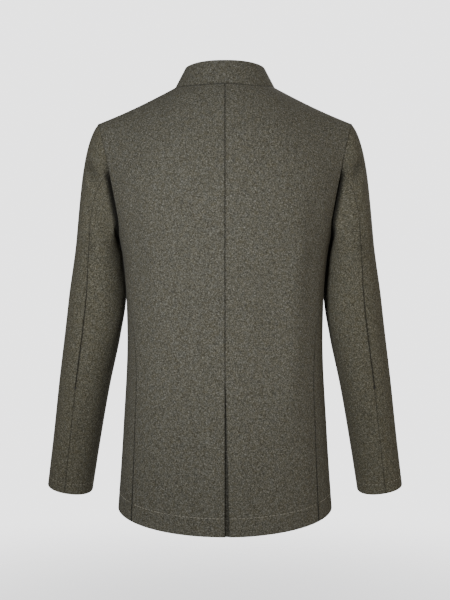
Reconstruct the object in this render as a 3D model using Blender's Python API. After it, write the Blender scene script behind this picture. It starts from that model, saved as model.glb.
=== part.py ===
"""A wool mao jacket, filled out as if worn: two backs with a centre seam and vent, two side panels,
two buttoned fronts, two-piece set-in sleeves and a stand collar. Metres, +Z up, the front towards -Y
and the wearer's left towards +X. The origin is the middle of the neck, level with the shoulders' tops.

Every panel is a grid of points on the outer face of the cloth. Neighbouring panels share the points of
their seam, each edge is then drawn back by half the seam gap, and the same points moved in by the
cloth's thickness make its inner face.
"""

import math
from collections import namedtuple

import bpy
import numpy as np

# Cloth
WALL = 0.0025  # melton wool with its backing
COLLAR_WALL = 0.0035  # two layers and an interlining
SEAM_GAP = 0.0003
MITRE_LIMIT = 0.7  # the least cosine that a mitred wall is lengthened by
SAME_POINT_DECIMALS = 6  # in metres, for points that two panels share

# Body: outer half sections of the worn jacket, from the hem up to the line where the armholes begin
Ring = namedtuple("Ring", "name height half_width back front squareness")  # squareness 2 is an ellipse
BODY_RINGS = (
    Ring("hem", -0.800, 0.1960, 0.1410, 0.1340, 2.05),
    Ring("hip", -0.620, 0.1838, 0.1390, 0.1320, 2.20),
    Ring("waist", -0.430, 0.1765, 0.1220, 0.1270, 2.30),
    Ring("chest", -0.300, 0.1852, 0.1340, 0.1370, 2.35),
    Ring("armhole", -0.240, 0.1970, 0.1370, 0.1370, 2.35),
)

# Hem: level at the front, dropping towards the back
HEM_FRONT = -0.7410
HEM_SLOPE = 0.310
HEM_EASE = 0.10

# Side seams, as shares of the half girth from centre back (0) to centre front (1)
Seam = namedtuple("Seam", "height back_share front_share")
SIDE_SEAMS = (
    Seam(-0.800, 0.340, 0.660),
    Seam(-0.620, 0.346, 0.658),
    Seam(-0.510, 0.354, 0.655),
    Seam(-0.440, 0.376, 0.652),
    Seam(-0.365, 0.422, 0.650),
    Seam(-0.240, 0.415, 0.650),
)
ARMHOLE_DIP = 0.036  # how far the underarm lies below the ends of the side seams

# Neck and shoulders
NECK_HALF_WIDTH = 0.0905
NECK_BACK = 0.072
NECK_FRONT = 0.080
NECK_BACK_HEIGHT = -0.002
NECK_FRONT_DROP = 0.060
NECK_DROP_POWER = 1.5  # how late the neck seam falls, going round from the shoulder
SHOULDER_POINT = (0.2312, -0.004, -0.0655)
SHOULDER_SAG = 0.0030
NECK_SIDE_DIP = 0.0025  # of the collar seam, between the centre back and the shoulder
NECK_CORNER_SPREAD = 0.30  # how far along the edge the cloth eases off the corner at the neck
NECK_CORNER_DECAY = 4  # and how soon it does so, going down

# The way each panel arrives at its top edge, as directions scaled by the panel's own height
Lean = namedtuple("Lean", "place back front")
TOP_LEANS = (
    Lean("neck centre", (0.0, -0.50, 0.62), (0.0, 0.42, 0.66)),
    Lean("neck side", (0.0, -0.80, 0.04), (0.0, 0.76, 0.22)),
    Lean("shoulder point", (0.10, -0.75, 0.00), (0.10, 0.75, 0.00)),
)

# Front closing and back vent
FRONT_OVERLAP = 0.026  # how far each front runs past the centre
OVERLAP_SOURCE_COLUMNS = 4  # of a front, whose mirror image its overlap follows
OVERLAP_REST = 0.0008  # between the two layers, as they bed on each other
OVERLAP_EASE = 0.055  # over which the left front comes down off the right one
VENT_TOP = -0.511
VENT_OPENING = 0.0072  # between the two backs, at the hem
VENT_EASE = 0.070
UNDERLAP_BOW = 0.0022  # how far its middle falls in behind the opening

# Stand collar
COLLAR_BACK_HEIGHT = 0.0436
COLLAR_FRONT_HEIGHT = 0.038
COLLAR_SIDE_RISE = 0.0032  # more height half way from the back to the side
COLLAR_SIDE_LEAN = 0.54  # inwards, as a share of the height
COLLAR_BACK_LEAN = 0.25
COLLAR_FRONT_LEAN = 0.12
COLLAR_CORNER = 0.016  # rounding of its front corners, along the edge
COLLAR_CORNER_DROP = 0.0096  # and how far it takes them down
COLLAR_GAP = 0.0006  # above the neck seam
COLLAR_END_GAP = 0.0010

# Sleeves: sections down the arm, each square to the line through the centres
Cuff = namedtuple("Cuff", "name x y z half_width half_depth")
SLEEVE_RINGS = (
    Cuff("bicep", 0.2298, -0.026, -0.300, 0.0439, 0.0730),
    Cuff("upper arm", 0.2317, -0.030, -0.365, 0.0515, 0.0700),
    Cuff("elbow", 0.2417, -0.035, -0.440, 0.0506, 0.0650),
    Cuff("forearm", 0.2577, -0.048, -0.530, 0.0468, 0.0590),
    Cuff("low forearm", 0.2749, -0.068, -0.640, 0.0435, 0.0530),
    Cuff("wrist", 0.2890, -0.084, -0.732, 0.0420, 0.0490),
)
SLEEVE_SQUARENESS = 2.15
SLEEVE_TURN = 0.03  # how far the seams wind round towards the body, as a share, by the wrist

# How the sleeve leaves the armhole, going round it from the shoulder by the back
Leave = namedtuple("Leave", "share direction")
SLEEVE_LEAVES = (
    Leave(0.00, (0.40, 0.00, -0.62)),
    Leave(0.20, (0.60, 0.16, -0.48)),
    Leave(0.35, (0.82, 0.12, -0.12)),
    Leave(0.50, (0.80, 0.00, 0.10)),
    Leave(0.65, (0.80, -0.35, -0.10)),
    Leave(0.80, (0.55, -0.45, -0.45)),
    Leave(1.00, (0.40, 0.00, -0.62)),
)
ELBOW_SEAM = 5  # columns from the shoulder to the seam at the back of the sleeve
FRONT_SEAM = 15  # and on round to the seam at its front

# The largest folds of the cloth: soft ridges, or troughs where they go out by less than 0.
# On a sleeve they are placed by shares of its length, from the shoulder, and of its girth, from its top.
SleeveFold = namedtuple("SleeveFold", "place round slant length breadth out")
SLEEVE_FOLDS = (
    SleeveFold(0.20, 0.12, 0.10, 0.060, 0.056, 0.0022),
    SleeveFold(0.26, 0.20, 0.16, 0.055, 0.052, -0.0026),
    SleeveFold(0.34, 0.72, -0.20, 0.070, 0.064, 0.0028),
    SleeveFold(0.48, 0.68, 0.30, 0.055, 0.056, -0.0032),
    SleeveFold(0.55, 0.74, 0.26, 0.060, 0.056, 0.0034),
    SleeveFold(0.62, 0.62, 0.24, 0.050, 0.056, -0.0028),
    SleeveFold(0.50, 0.40, -0.22, 0.060, 0.060, 0.0026),
)
# On the body they are placed in metres, and slant is how far they move out for each metre up.
BodyFold = namedtuple("BodyFold", "x height slant length breadth out")
BACK_FOLDS = (
    BodyFold(0.118, -0.420, 0.05, 0.200, 0.026, -0.0030),
    BodyFold(0.152, -0.300, 0.14, 0.110, 0.018, 0.0030),
    BodyFold(0.068, -0.640, -0.04, 0.130, 0.030, 0.0024),
)
FRONT_FOLDS = (
    BodyFold(0.128, -0.300, 0.22, 0.110, 0.020, -0.0030),
    BodyFold(0.092, -0.480, 0.06, 0.160, 0.028, 0.0026),
    BodyFold(0.140, -0.620, -0.04, 0.120, 0.026, -0.0024),
)

# Buttons on the front
BUTTON_COUNT = 5
BUTTON_RADIUS = 0.0105
BUTTON_THICKNESS = 0.0040
BUTTON_TOP = -0.098
BUTTON_STEP = 0.108
Turned = namedtuple("Turned", "radius rise")  # as shares of the button's radius and thickness
BUTTON_PROFILE = (
    Turned(0.00, 0.00),
    Turned(0.80, 0.00),
    Turned(1.00, 0.35),
    Turned(1.00, 0.70),
    Turned(0.92, 1.00),
    Turned(0.75, 1.00),
    Turned(0.60, 0.72),
    Turned(0.00, 0.66),
)

# How finely each panel is divided
NECK_BACK_COLUMNS = 5
NECK_FRONT_COLUMNS = 6
SHOULDER_COLUMNS = 6
SIDE_COLUMNS = 6
OVERLAP_COLUMNS = 2
LOWER_ROWS = 17
UPPER_ROWS = 8
CAP_ROWS = 7
ARM_ROWS = 17
COLLAR_ROWS = 3
UNDERLAP_LEFT_COLUMNS = 3
UNDERLAP_RIGHT_COLUMNS = 2
BUTTON_SIDES = 16

ARMHOLE_HEIGHT = BODY_RINGS[-1].height
RIGHT_SIDE = np.array([-1.0, 1.0, 1.0])  # turns the left half into the right half

WOOL = ("olive_grey_wool", (0.105, 0.096, 0.076), 0.95)
WOOL_SHADE = ("olive_grey_wool_underlap", (0.080, 0.072, 0.056), 0.95)
HORN = ("dark_brown_button", (0.035, 0.028, 0.022), 0.40)


# Curves and grids


def column(table, name):
    return np.array([getattr(row, name) for row in table], float)


def smooth(knots, values, at):
    """The smooth curve through values at rising knots, read at any places."""
    at = np.asarray(at, float)
    slopes = np.gradient(values, knots, axis=0)
    index = np.clip(np.searchsorted(knots, at, side="right") - 1, 0, len(knots) - 2)
    step = knots[index + 1] - knots[index]
    t = (at - knots[index]) / step
    if np.ndim(values) > 1:
        t, step = t[..., None], step[..., None]
    return between(values[index], slopes[index] * step, values[index + 1], slopes[index + 1] * step, t)


def between(start, start_way, end, end_way, t):
    """A cubic from start to end that sets off along start_way and arrives along end_way."""
    return (
        start * (1 + 2 * t) * (1 - t) ** 2
        + start_way * t * (1 - t) ** 2
        + end * t**2 * (3 - 2 * t)
        - end_way * t**2 * (1 - t)
    )


def ease(t):
    """From 0 to 1, level at both ends."""
    t = np.clip(t, 0, 1)
    return t * t * (3 - 2 * t)


def unit(vectors):
    return vectors / np.linalg.norm(vectors, axis=-1, keepdims=True)


def normals(grid):
    """Outward normals of a grid whose rows climb and whose columns run left to right seen from outside."""
    up = np.gradient(grid, axis=0)
    along = np.gradient(grid, axis=1)
    return unit(np.cross(along, up))


def drawn_back(grid, gap=SEAM_GAP / 2):
    """How far to move each point so that the edges stay clear of the panels they are sewn to."""
    shift = np.zeros_like(grid)
    for edge, inner in ((np.s_[0], np.s_[1]), (np.s_[-1], np.s_[-2])):
        shift[:, edge] += unit(grid[:, inner] - grid[:, edge]) * gap
        shift[edge] += unit(grid[inner] - grid[edge]) * gap
    return shift


def walls(grids):
    """Outward wall directions of panels sewn together, with one mitred direction where they share a point."""
    ways = [normals(grid) for grid in grids]
    keys = [list(map(tuple, np.round(grid.reshape(-1, 3), SAME_POINT_DECIMALS))) for grid in grids]
    met = {}
    for places, way in zip(keys, ways):
        for place, direction in zip(places, way.reshape(-1, 3)):
            met.setdefault(place, []).append(direction)
    mitred = {}
    for place, directions in met.items():
        mean = unit(np.sum(directions, axis=0))
        mitred[place] = mean / max(np.mean(directions @ mean), MITRE_LIMIT)
    shared = [np.array([mitred[place] for place in places]) for places in keys]
    return [way.reshape(grid.shape) for way, grid in zip(shared, grids)]


def mirrored(grid):
    """The other half's panel, with its columns still running left to right seen from outside."""
    return grid[:, ::-1] * RIGHT_SIDE


def folded(grid, out):
    """The grid moved along its normals by the amounts in out."""
    return grid + normals(grid) * out[..., None]


# Body


def turns_by_girth():
    """The turn round a half section, from back to front, at even steps of its girth."""
    turn = np.linspace(0, np.pi, 2001)
    waist = BODY_RINGS[2]
    x, y = section(turn, waist.squareness)
    steps = np.hypot(np.diff(x) * waist.half_width, np.diff(y) * waist.back)
    return np.concatenate([[0], np.cumsum(steps)]) / np.sum(steps), turn


def section(turn, squareness):
    power = 2 / squareness
    x = np.abs(np.sin(turn)) ** power
    y = np.sign(np.cos(turn)) * np.abs(np.cos(turn)) ** power
    return x, y


SHARES, TURNS = turns_by_girth()


def body_size(which, height):
    return smooth(column(BODY_RINGS, "height"), column(BODY_RINGS, which), height)


def body(share, height):
    """The outer face of the body below the armholes, on the wearer's left."""
    x, y = section(np.interp(share, SHARES, TURNS), body_size("squareness", height))
    depth = np.where(y > 0, body_size("back", height), body_size("front", height))
    return np.stack([body_size("half_width", height) * x, y * depth, height + 0 * x], axis=-1)


def hem_height(share):
    depth = body(share, BODY_RINGS[0].height + 0 * share)[..., 1]
    return HEM_FRONT - HEM_SLOPE * (depth + np.hypot(depth, HEM_EASE)) / 2


def seam_share(which, height):
    return smooth(column(SIDE_SEAMS, "height"), column(SIDE_SEAMS, which), height)


def lower_panel(across, from_share, to_share, top):
    """Rows from the hem up to top, with columns at the fractions across between two seams."""
    climb = np.linspace(0, 1, LOWER_ROWS + 1)[:, None]
    height = top + 0 * climb * across
    for _ in range(3):
        share = from_share(height) * (1 - across) + to_share(height) * across
        height = hem_height(share[:1]) * (1 - climb) + top * climb
    return body(from_share(height) * (1 - across) + to_share(height) * across, height)


def softened(edge):
    """The top edge with its corner at the neck eased away, for the cloth further down to follow."""
    at = np.arange(len(edge))
    reach = np.minimum(NECK_CORNER_SPREAD * at[-1], np.minimum(at, at[::-1]))
    shifted = [at + reach * part for part in np.linspace(-1, 1, 21)]
    return np.mean([np.stack([np.interp(s, at, edge[:, k]) for k in range(3)], -1) for s in shifted], axis=0)


def upper_panel(lower, top_edge, leans):
    """Rows from the armhole line up to the neck and shoulder, carrying on from the panel below."""
    start, end = lower[-1], softened(top_edge)
    span = np.linalg.norm(end - start, axis=-1, keepdims=True)
    start_way = unit(lower[-1] - lower[-2]) * span
    climb = np.linspace(0, 1, UPPER_ROWS + 1)[1:, None, None]
    return between(start, start_way, end, leans * span, climb) + (top_edge - end) * climb**NECK_CORNER_DECAY


def neck_edge(side):
    """The seam of the collar, from the shoulder's neck end to centre back or centre front."""
    columns = NECK_BACK_COLUMNS if side == "back" else NECK_FRONT_COLUMNS
    turn = np.linspace(np.pi / 2, 0, columns + 1)
    depth = NECK_BACK if side == "back" else -NECK_FRONT
    drop = NECK_BACK_HEIGHT if side == "back" else -NECK_FRONT_DROP
    dip = NECK_SIDE_DIP if side == "back" else 0.0
    height = drop * np.cos(turn) ** NECK_DROP_POWER - dip * np.sin(2 * turn)
    return np.stack([NECK_HALF_WIDTH * np.sin(turn), depth * np.cos(turn), height], axis=-1)


def shoulder_edge():
    """The shoulder seam, from the neck to the shoulder point."""
    t = np.linspace(0, 1, SHOULDER_COLUMNS + 1)[:, None]
    neck = np.array([NECK_HALF_WIDTH, 0.0, 0.0])
    line = neck * (1 - t) + np.array(SHOULDER_POINT) * t
    line[:, 2] -= SHOULDER_SAG * np.sin(np.pi * t[:, 0])
    return line


def top_edge(side):
    """Neck and shoulder in one, from the centre of the panel to the shoulder point."""
    return np.concatenate([neck_edge(side)[::-1], shoulder_edge()[1:]])


def top_leans(side):
    """The leans along the top edge, level at the neck's centre so that the two halves run into each other."""
    neck = NECK_BACK_COLUMNS if side == "back" else NECK_FRONT_COLUMNS
    centre, neck_side, shoulder = column(TOP_LEANS, side)
    along = np.arange(neck + SHOULDER_COLUMNS + 1)[:, None]
    to_side, to_shoulder = ease(along / neck), ease((along - neck) / SHOULDER_COLUMNS)
    return centre + (neck_side - centre) * to_side + (shoulder - neck_side) * to_shoulder


def body_folds(grid, folds):
    out = np.zeros(grid.shape[:2])
    for fold in folds:
        along = grid[..., 2] - fold.height
        aside = np.abs(grid[..., 0]) - fold.x - fold.slant * along
        out += fold.out * np.exp(-((along / fold.length) ** 2) - (aside / fold.breadth) ** 2)
    edges = np.ones(grid.shape[:2])
    edges[:, [0, -1]] = edges[[0, -1]] = 0
    return folded(grid, out * edges)


def whole_panel(side):
    """The left back or front: columns run from its centre line out to the side seam and armhole."""
    edge = top_edge(side)
    across = np.linspace(0, 1, len(edge))[None, :]
    if side == "back":
        lower = lower_panel(across, np.zeros_like, lambda z: seam_share("back_share", z), ARMHOLE_HEIGHT)
    else:
        lower = lower_panel(across, np.ones_like, lambda z: seam_share("front_share", z), ARMHOLE_HEIGHT)
    return np.concatenate([lower, upper_panel(lower, edge, top_leans(side))])


def side_panel():
    """The left side panel, from the back seam round to the front one, scooped out under the arm."""
    turn = np.linspace(0, np.pi, SIDE_COLUMNS + 1)[None, :]
    top = ARMHOLE_HEIGHT - ARMHOLE_DIP * np.sin(turn)
    across = (1 - np.cos(turn)) / 2
    return lower_panel(
        across, lambda z: seam_share("back_share", z), lambda z: seam_share("front_share", z), top
    )


def with_overlap(front):
    """A front carried past the centre by its overlap, on the mirror image of its own first columns."""
    steps = np.linspace(1, 0, OVERLAP_COLUMNS + 1)[:-1]
    near = front[:, :OVERLAP_SOURCE_COLUMNS]
    beyond = []
    for step in steps:
        x = near[..., 0]
        reach = FRONT_OVERLAP * step
        row = np.array([[np.interp(reach, x[r], near[r, :, k]) for k in range(3)] for r in range(len(near))])
        row[:, 0] *= -1
        beyond.append(row)
    return np.concatenate([np.stack(beyond, axis=1), front], axis=1)


def lifted_over(front):
    """The left front raised where it lies on the right one, its top edge kept below the collar."""
    lift = 1 - ease((front[..., 0] - FRONT_OVERLAP - WALL) / OVERLAP_EASE)
    raised = folded(front, lift * (WALL + OVERLAP_REST))
    down = unit(raised[-2] - raised[-1])
    raised[-1] += down * (lift[-1] * (WALL + OVERLAP_REST))[:, None]
    return raised


def vent_opened(back):
    """The right back, drawn aside from the centre below the top of the vent."""
    fall = np.clip((VENT_TOP - back[..., 2]) / (VENT_TOP - back[0, 0, 2]), 0, 1)
    aside = VENT_OPENING * fall * (1 - ease(-back[..., 0] / VENT_EASE))
    moved = back.copy()
    moved[..., 0] -= aside
    return moved


def underlap(back):
    """The strip behind the vent, made from the points of the backs moved in."""
    rows = 2 + int(np.sum(back[:LOWER_ROWS, 0, 2] < VENT_TOP))
    left = back[:rows, UNDERLAP_LEFT_COLUMNS::-1]
    right = back[:rows, 1 : UNDERLAP_RIGHT_COLUMNS + 1] * RIGHT_SIDE
    grid = np.concatenate([left, right], axis=1)
    bow = UNDERLAP_BOW * np.sin(np.pi * np.linspace(0, 1, grid.shape[1]))
    return folded(grid, -(WALL + SEAM_GAP + bow + 0 * grid[..., 0]))


# Sleeves


def armhole(back, side, front, inset=0):
    """The left armhole, from the shoulder point down the back, under the arm and up the front."""
    down_back = back[LOWER_ROWS:, -1 - inset][::-1]
    under = side[-1 - inset]
    up_front = front[LOWER_ROWS:, -1 - inset]
    return np.concatenate([down_back[:-1], under[:-1], up_front])


def sleeve_ring(place, round_share):
    """Points of the sleeve at places down the arm (0 bicep, 1 wrist), at shares of the way round."""
    centres = np.stack([column(SLEEVE_RINGS, k) for k in "xyz"], axis=-1)
    knots = np.concatenate([[0], np.cumsum(np.linalg.norm(np.diff(centres, axis=0), axis=1))])
    at = place * knots[-1]
    centre = smooth(knots, centres, at)
    way = unit(smooth(knots, centres, at + 1e-3) - smooth(knots, centres, at - 1e-3))
    width, depth = (smooth(knots, column(SLEEVE_RINGS, c), at) for c in ("half_width", "half_depth"))
    outwards = unit(np.cross(np.array([0.0, 1.0, 0.0]), -way))
    backwards = unit(np.cross(-way, outwards))
    turn = 2 * np.pi * (round_share + SLEEVE_TURN * place[..., None])
    power = 2 / SLEEVE_SQUARENESS
    out = np.sign(np.cos(turn)) * np.abs(np.cos(turn)) ** power
    rear = np.sign(np.sin(turn)) * np.abs(np.sin(turn)) ** power
    spread = outwards[..., None, :] * (width[..., None] * out)[..., None]
    return centre[..., None, :] + spread + backwards[..., None, :] * (depth[..., None] * rear)[..., None]


def sleeve_cap(opening, shares):
    """Rows from the armhole to the bicep, each column leaving the armhole its own way."""
    end = sleeve_ring(np.array([0.0]), shares)[0]
    end_way = sleeve_ring(np.array([0.02]), shares)[0] - end
    span = np.linalg.norm(end - opening, axis=-1, keepdims=True)
    start_way = smooth(column(SLEEVE_LEAVES, "share"), column(SLEEVE_LEAVES, "direction"), shares)
    climb = np.linspace(0, 1, CAP_ROWS + 1)[:, None, None]
    return between(opening, start_way * span, end, unit(end_way) * span, climb)


def sleeve(opening):
    """The whole left sleeve, with rows from the wrist up and columns from the shoulder round by the back."""
    lengths = np.linalg.norm(np.diff(opening, axis=0), axis=1)
    shares = np.concatenate([[0], np.cumsum(lengths)]) / np.sum(lengths)
    places = np.linspace(0, 1, ARM_ROWS + 1)
    down = np.concatenate([sleeve_cap(opening, shares)[:-1], sleeve_ring(places, shares)])
    grid = down[::-1]
    out = np.zeros(grid.shape[:2])
    place = np.linspace(1, 0, len(grid))[:, None]
    for fold in SLEEVE_FOLDS:
        along = place - fold.place
        aside = (shares[None, :] - fold.round - fold.slant * along + 0.5) % 1.0 - 0.5
        out += fold.out * np.exp(-((along / fold.length) ** 2) - (aside / fold.breadth) ** 2)
    out[[0, -1]] = 0
    return folded(grid, out)


def set_in(grid, off_the_edge):
    """The sleeve's top row drawn down far enough that its wall clears the wall of the body."""
    turned_out = np.sum(normals(grid)[-1] * off_the_edge, axis=-1)
    gap = SEAM_GAP + WALL * np.clip(turned_out, 0, None)
    grid = grid.copy()
    grid[-1] += unit(grid[-2] - grid[-1]) * gap[:, None]
    return grid


# Collar


def collar():
    """A band on the neck seam from one front end round to the other, leaning in towards its top."""
    half = np.concatenate([neck_edge("front")[::-1], neck_edge("back")[1:]])
    base = np.concatenate([half[:-1] * RIGHT_SIDE, half[::-1]])
    turn = np.arctan2(base[:, 0] / NECK_HALF_WIDTH, base[:, 1] / NECK_BACK)
    backness, sideness = np.cos(turn), np.abs(np.sin(turn))
    centre_lean = np.where(backness > 0, COLLAR_BACK_LEAN, COLLAR_FRONT_LEAN)
    lean = centre_lean * np.abs(backness) ** 2 + COLLAR_SIDE_LEAN * sideness**2
    height = COLLAR_FRONT_HEIGHT + (COLLAR_BACK_HEIGHT - COLLAR_FRONT_HEIGHT) * (1 + backness) / 2
    height = height + COLLAR_SIDE_RISE * 2 * sideness * np.clip(backness, 0, 1)
    from_end = np.concatenate([[0], np.cumsum(np.linalg.norm(np.diff(base, axis=0), axis=1))])
    from_end = np.minimum(from_end, from_end[-1] - from_end)
    corner = np.clip(1 - from_end / COLLAR_CORNER, 0, 1)
    height = height - COLLAR_CORNER_DROP * (1 - np.sqrt(1 - corner**2))
    inwards = unit(base * np.array([-1.0, -1.0, 0.0]))
    climb = np.linspace(0, 1, COLLAR_ROWS + 1)[:, None, None]
    rise = np.array([0.0, 0.0, 1.0]) + inwards * lean[:, None]
    grid = base + unit(rise) * height[:, None] * climb
    grid[..., 2] += COLLAR_GAP
    ends = np.s_[:, [0, -1], 0]
    grid[ends] += np.array([-1.0, 1.0]) * COLLAR_END_GAP / 2
    return grid[:, ::-1]


# Blender objects


def finish(name, colour, roughness):
    material = bpy.data.materials.new(name)
    material.use_nodes = True
    shader = material.node_tree.nodes["Principled BSDF"]
    shader.inputs["Base Color"].default_value = (*colour, 1.0)
    shader.inputs["Roughness"].default_value = roughness
    shader.inputs["Metallic"].default_value = 0.0
    return material


def add_object(name, points, faces, material):
    mesh = bpy.data.meshes.new(name)
    mesh.from_pydata([tuple(p) for p in points], [], faces)
    mesh.shade_smooth()
    mesh.set_sharp_from_angle(angle=math.radians(50))
    mesh.materials.append(material)
    thing = bpy.data.objects.new(name, mesh)
    bpy.context.scene.collection.objects.link(thing)
    return thing


def add_cloth(name, outer, way, material, thickness=WALL, gap=SEAM_GAP / 2):
    """A cloth wall between a grid of outer points and the same points moved in, closed round its rim."""
    shift = drawn_back(outer, gap)
    outside = outer + shift
    points = np.concatenate([outside.reshape(-1, 3), (outside - way * thickness).reshape(-1, 3)])
    rows, columns = outer.shape[:2]
    index = np.arange(rows * columns).reshape(rows, columns)
    corners = (index[:-1, :-1], index[:-1, 1:], index[1:, 1:], index[1:, :-1])
    face = np.stack([c.ravel() for c in corners], axis=-1)
    edge = np.concatenate([index[0], index[1:, -1], index[-1, -2::-1], index[-2:0:-1, 0]])
    after = np.roll(edge, -1)
    inner_edge, inner_after = edge + rows * columns, after + rows * columns
    across = np.linalg.norm(points[edge] - points[inner_after], axis=1)
    other = np.linalg.norm(points[after] - points[inner_edge], axis=1)
    rim_low = np.stack([edge, inner_edge, np.where(across > other, after, inner_after)], axis=1)
    rim_high = np.stack([np.where(across > other, inner_edge, edge), inner_after, after], axis=1)
    faces = [part.tolist() for part in (face, face[:, ::-1] + rows * columns, rim_low, rim_high)]
    faces = sum(faces, [])
    return add_object(name, points, faces, material)


def add_button(name, place, outwards, material):
    """A dished button with a rounded rim, lying on the front."""
    aside = unit(np.cross(np.array([0.0, 0.0, 1.0]), outwards))
    upwards = np.cross(outwards, aside)
    points = [place]
    for ring in BUTTON_PROFILE[1:-1]:
        for turn in np.linspace(0, 2 * np.pi, BUTTON_SIDES, endpoint=False):
            spoke = aside * math.cos(turn) + upwards * math.sin(turn)
            rim = place + spoke * ring.radius * BUTTON_RADIUS
            points.append(rim + outwards * ring.rise * BUTTON_THICKNESS)
    points.append(place + outwards * BUTTON_PROFILE[-1].rise * BUTTON_THICKNESS)
    last = len(points) - 1
    faces = []
    for k in range(BUTTON_SIDES):
        after = (k + 1) % BUTTON_SIDES
        faces.append((0, 1 + after, 1 + k))
        for ring in range(len(BUTTON_PROFILE) - 3):
            low, high = 1 + ring * BUTTON_SIDES, 1 + (ring + 1) * BUTTON_SIDES
            faces.append((low + k, low + after, high + after, high + k))
        faces.append((last, last - BUTTON_SIDES + k, last - BUTTON_SIDES + after))
    return add_object(name, points, faces, material)


def add_buttons(front, material):
    """Buttons down the centre of the left front, each bedded on the cloth round it."""
    out = normals(front)[:, OVERLAP_COLUMNS]
    line = front[:, OVERLAP_COLUMNS]
    for k in range(BUTTON_COUNT):
        height = BUTTON_TOP - k * BUTTON_STEP
        under = height + np.linspace(-1, 1, 9) * BUTTON_RADIUS
        cloth = np.stack([np.interp(under, line[:, 2], line[:, axis]) for axis in range(3)], axis=-1)
        way = unit(np.array([np.interp(height, line[:, 2], out[:, axis]) for axis in range(3)]))
        rise = np.max((cloth - cloth[4]) @ way)
        add_button(f"button_{k + 1}", cloth[4] + way * (rise + SEAM_GAP), way, material)


def main():
    for thing in list(bpy.data.objects):
        bpy.data.objects.remove(thing)
    wool, shade, horn = finish(*WOOL), finish(*WOOL_SHADE), finish(*HORN)

    back = body_folds(whole_panel("back"), BACK_FOLDS)
    side = side_panel()
    front = body_folds(whole_panel("front"), FRONT_FOLDS)
    crossing = with_overlap(front)
    panels = {
        "back_left": back[:, ::-1],
        "back_right": vent_opened(back * RIGHT_SIDE),
        "side_left": side[:, ::-1],
        "side_right": side * RIGHT_SIDE,
        "front_left": lifted_over(crossing),
        "front_right": mirrored(crossing),
    }
    for (name, grid), way in zip(panels.items(), walls(panels.values())):
        add_cloth(name, grid, way, wool)
    strip = underlap(back)
    add_cloth("vent_underlap", strip, normals(strip), shade, gap=0)
    add_buttons(panels["front_left"], horn)

    opening = armhole(back, side, front)
    whole = set_in(sleeve(opening), unit(opening - armhole(back, side, front, inset=1)))
    upper = np.concatenate([whole[:, FRONT_SEAM:-1], whole[:, : ELBOW_SEAM + 1]], axis=1)
    under = whole[:, ELBOW_SEAM : FRONT_SEAM + 1]
    sleeves = {
        "upper_sleeve_left": upper,
        "under_sleeve_left": under,
        "upper_sleeve_right": mirrored(upper),
        "under_sleeve_right": mirrored(under),
    }
    for (name, grid), way in zip(sleeves.items(), walls(sleeves.values())):
        add_cloth(name, grid, way, wool)

    band = collar()
    add_cloth("collar", band, normals(band), wool, COLLAR_WALL, gap=0)


main()
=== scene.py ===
# %% [markdown]
# # Dressing a wool mao jacket
# The solids of the jacket are already packed: two backs, two sides, two fronts, four sleeve pieces, a
# collar, the strip behind the vent and five buttons. This lesson keeps every piece where its solid is
# and makes it again as cloth: finer, with rounded edges, creases, stitches and a napped wool finish.

import math
from collections import namedtuple

import bmesh
import bpy
import numpy as np
from mathutils import Matrix, Vector


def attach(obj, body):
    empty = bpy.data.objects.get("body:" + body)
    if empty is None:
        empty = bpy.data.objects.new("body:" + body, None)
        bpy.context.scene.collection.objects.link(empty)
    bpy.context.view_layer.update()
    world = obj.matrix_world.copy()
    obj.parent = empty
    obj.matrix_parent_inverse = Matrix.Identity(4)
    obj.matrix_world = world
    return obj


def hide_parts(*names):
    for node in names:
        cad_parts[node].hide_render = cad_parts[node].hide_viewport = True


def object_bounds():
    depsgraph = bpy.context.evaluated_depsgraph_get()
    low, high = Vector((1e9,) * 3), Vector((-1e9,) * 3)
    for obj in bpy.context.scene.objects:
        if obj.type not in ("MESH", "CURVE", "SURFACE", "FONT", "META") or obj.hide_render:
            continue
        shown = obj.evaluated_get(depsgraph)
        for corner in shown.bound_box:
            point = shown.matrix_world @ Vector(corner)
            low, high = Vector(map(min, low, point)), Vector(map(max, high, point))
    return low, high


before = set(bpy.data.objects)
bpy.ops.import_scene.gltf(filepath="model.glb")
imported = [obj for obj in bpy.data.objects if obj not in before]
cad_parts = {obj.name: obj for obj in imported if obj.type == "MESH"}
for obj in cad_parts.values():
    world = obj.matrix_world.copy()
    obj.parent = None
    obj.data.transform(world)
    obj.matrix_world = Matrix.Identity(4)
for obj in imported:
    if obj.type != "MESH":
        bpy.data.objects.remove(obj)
CAD_BOX = [list(corner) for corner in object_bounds()]
print("nodes:", len(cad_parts), "box in metres:", CAD_BOX)

# %% [markdown]
# ## The camera
# The jacket is seen square from behind, from a little below its chest. A long lens flattens it, as a
# product photograph does. The distance and the height of the frame are real lengths, and the focal
# length follows from them.

# %% Camera
VIEW_DISTANCE = 2.5
VIEW_HEIGHT = -0.3837
FRAME_HEIGHT = 1.086  # of the picture, in the plane through the shoulders
SENSOR = 36.0  # millimetres, on the picture's long side

camera = bpy.data.objects.new("camera", bpy.data.cameras.new("camera"))
camera.data.sensor_width = SENSOR
camera.data.lens = SENSOR * VIEW_DISTANCE / FRAME_HEIGHT
camera.location = (0.0, VIEW_DISTANCE, VIEW_HEIGHT)
camera.rotation_euler = (math.pi / 2, 0.0, math.pi)
bpy.context.scene.collection.objects.link(camera)
bpy.context.scene.camera = camera
print("lens:", round(camera.data.lens, 1), "mm")

# %% [markdown]
# ## Colours and nodes
# Colours are picked as sRGB hex values, which is how a paint chart gives them, and Blender wants linear
# light. One function turns them over. A second adds a shader node with its settings and links, so that
# a material reads as a short list of what it is made of.

# %% Helpers for materials


def linear(hex_colour):
    """An sRGB hex colour as linear red, green, blue and alpha."""
    parts = [int(hex_colour[k : k + 2], 16) / 255 for k in (1, 3, 5)]
    return (*[p / 12.92 if p <= 0.04045 else ((p + 0.055) / 1.055) ** 2.4 for p in parts], 1.0)


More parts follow.
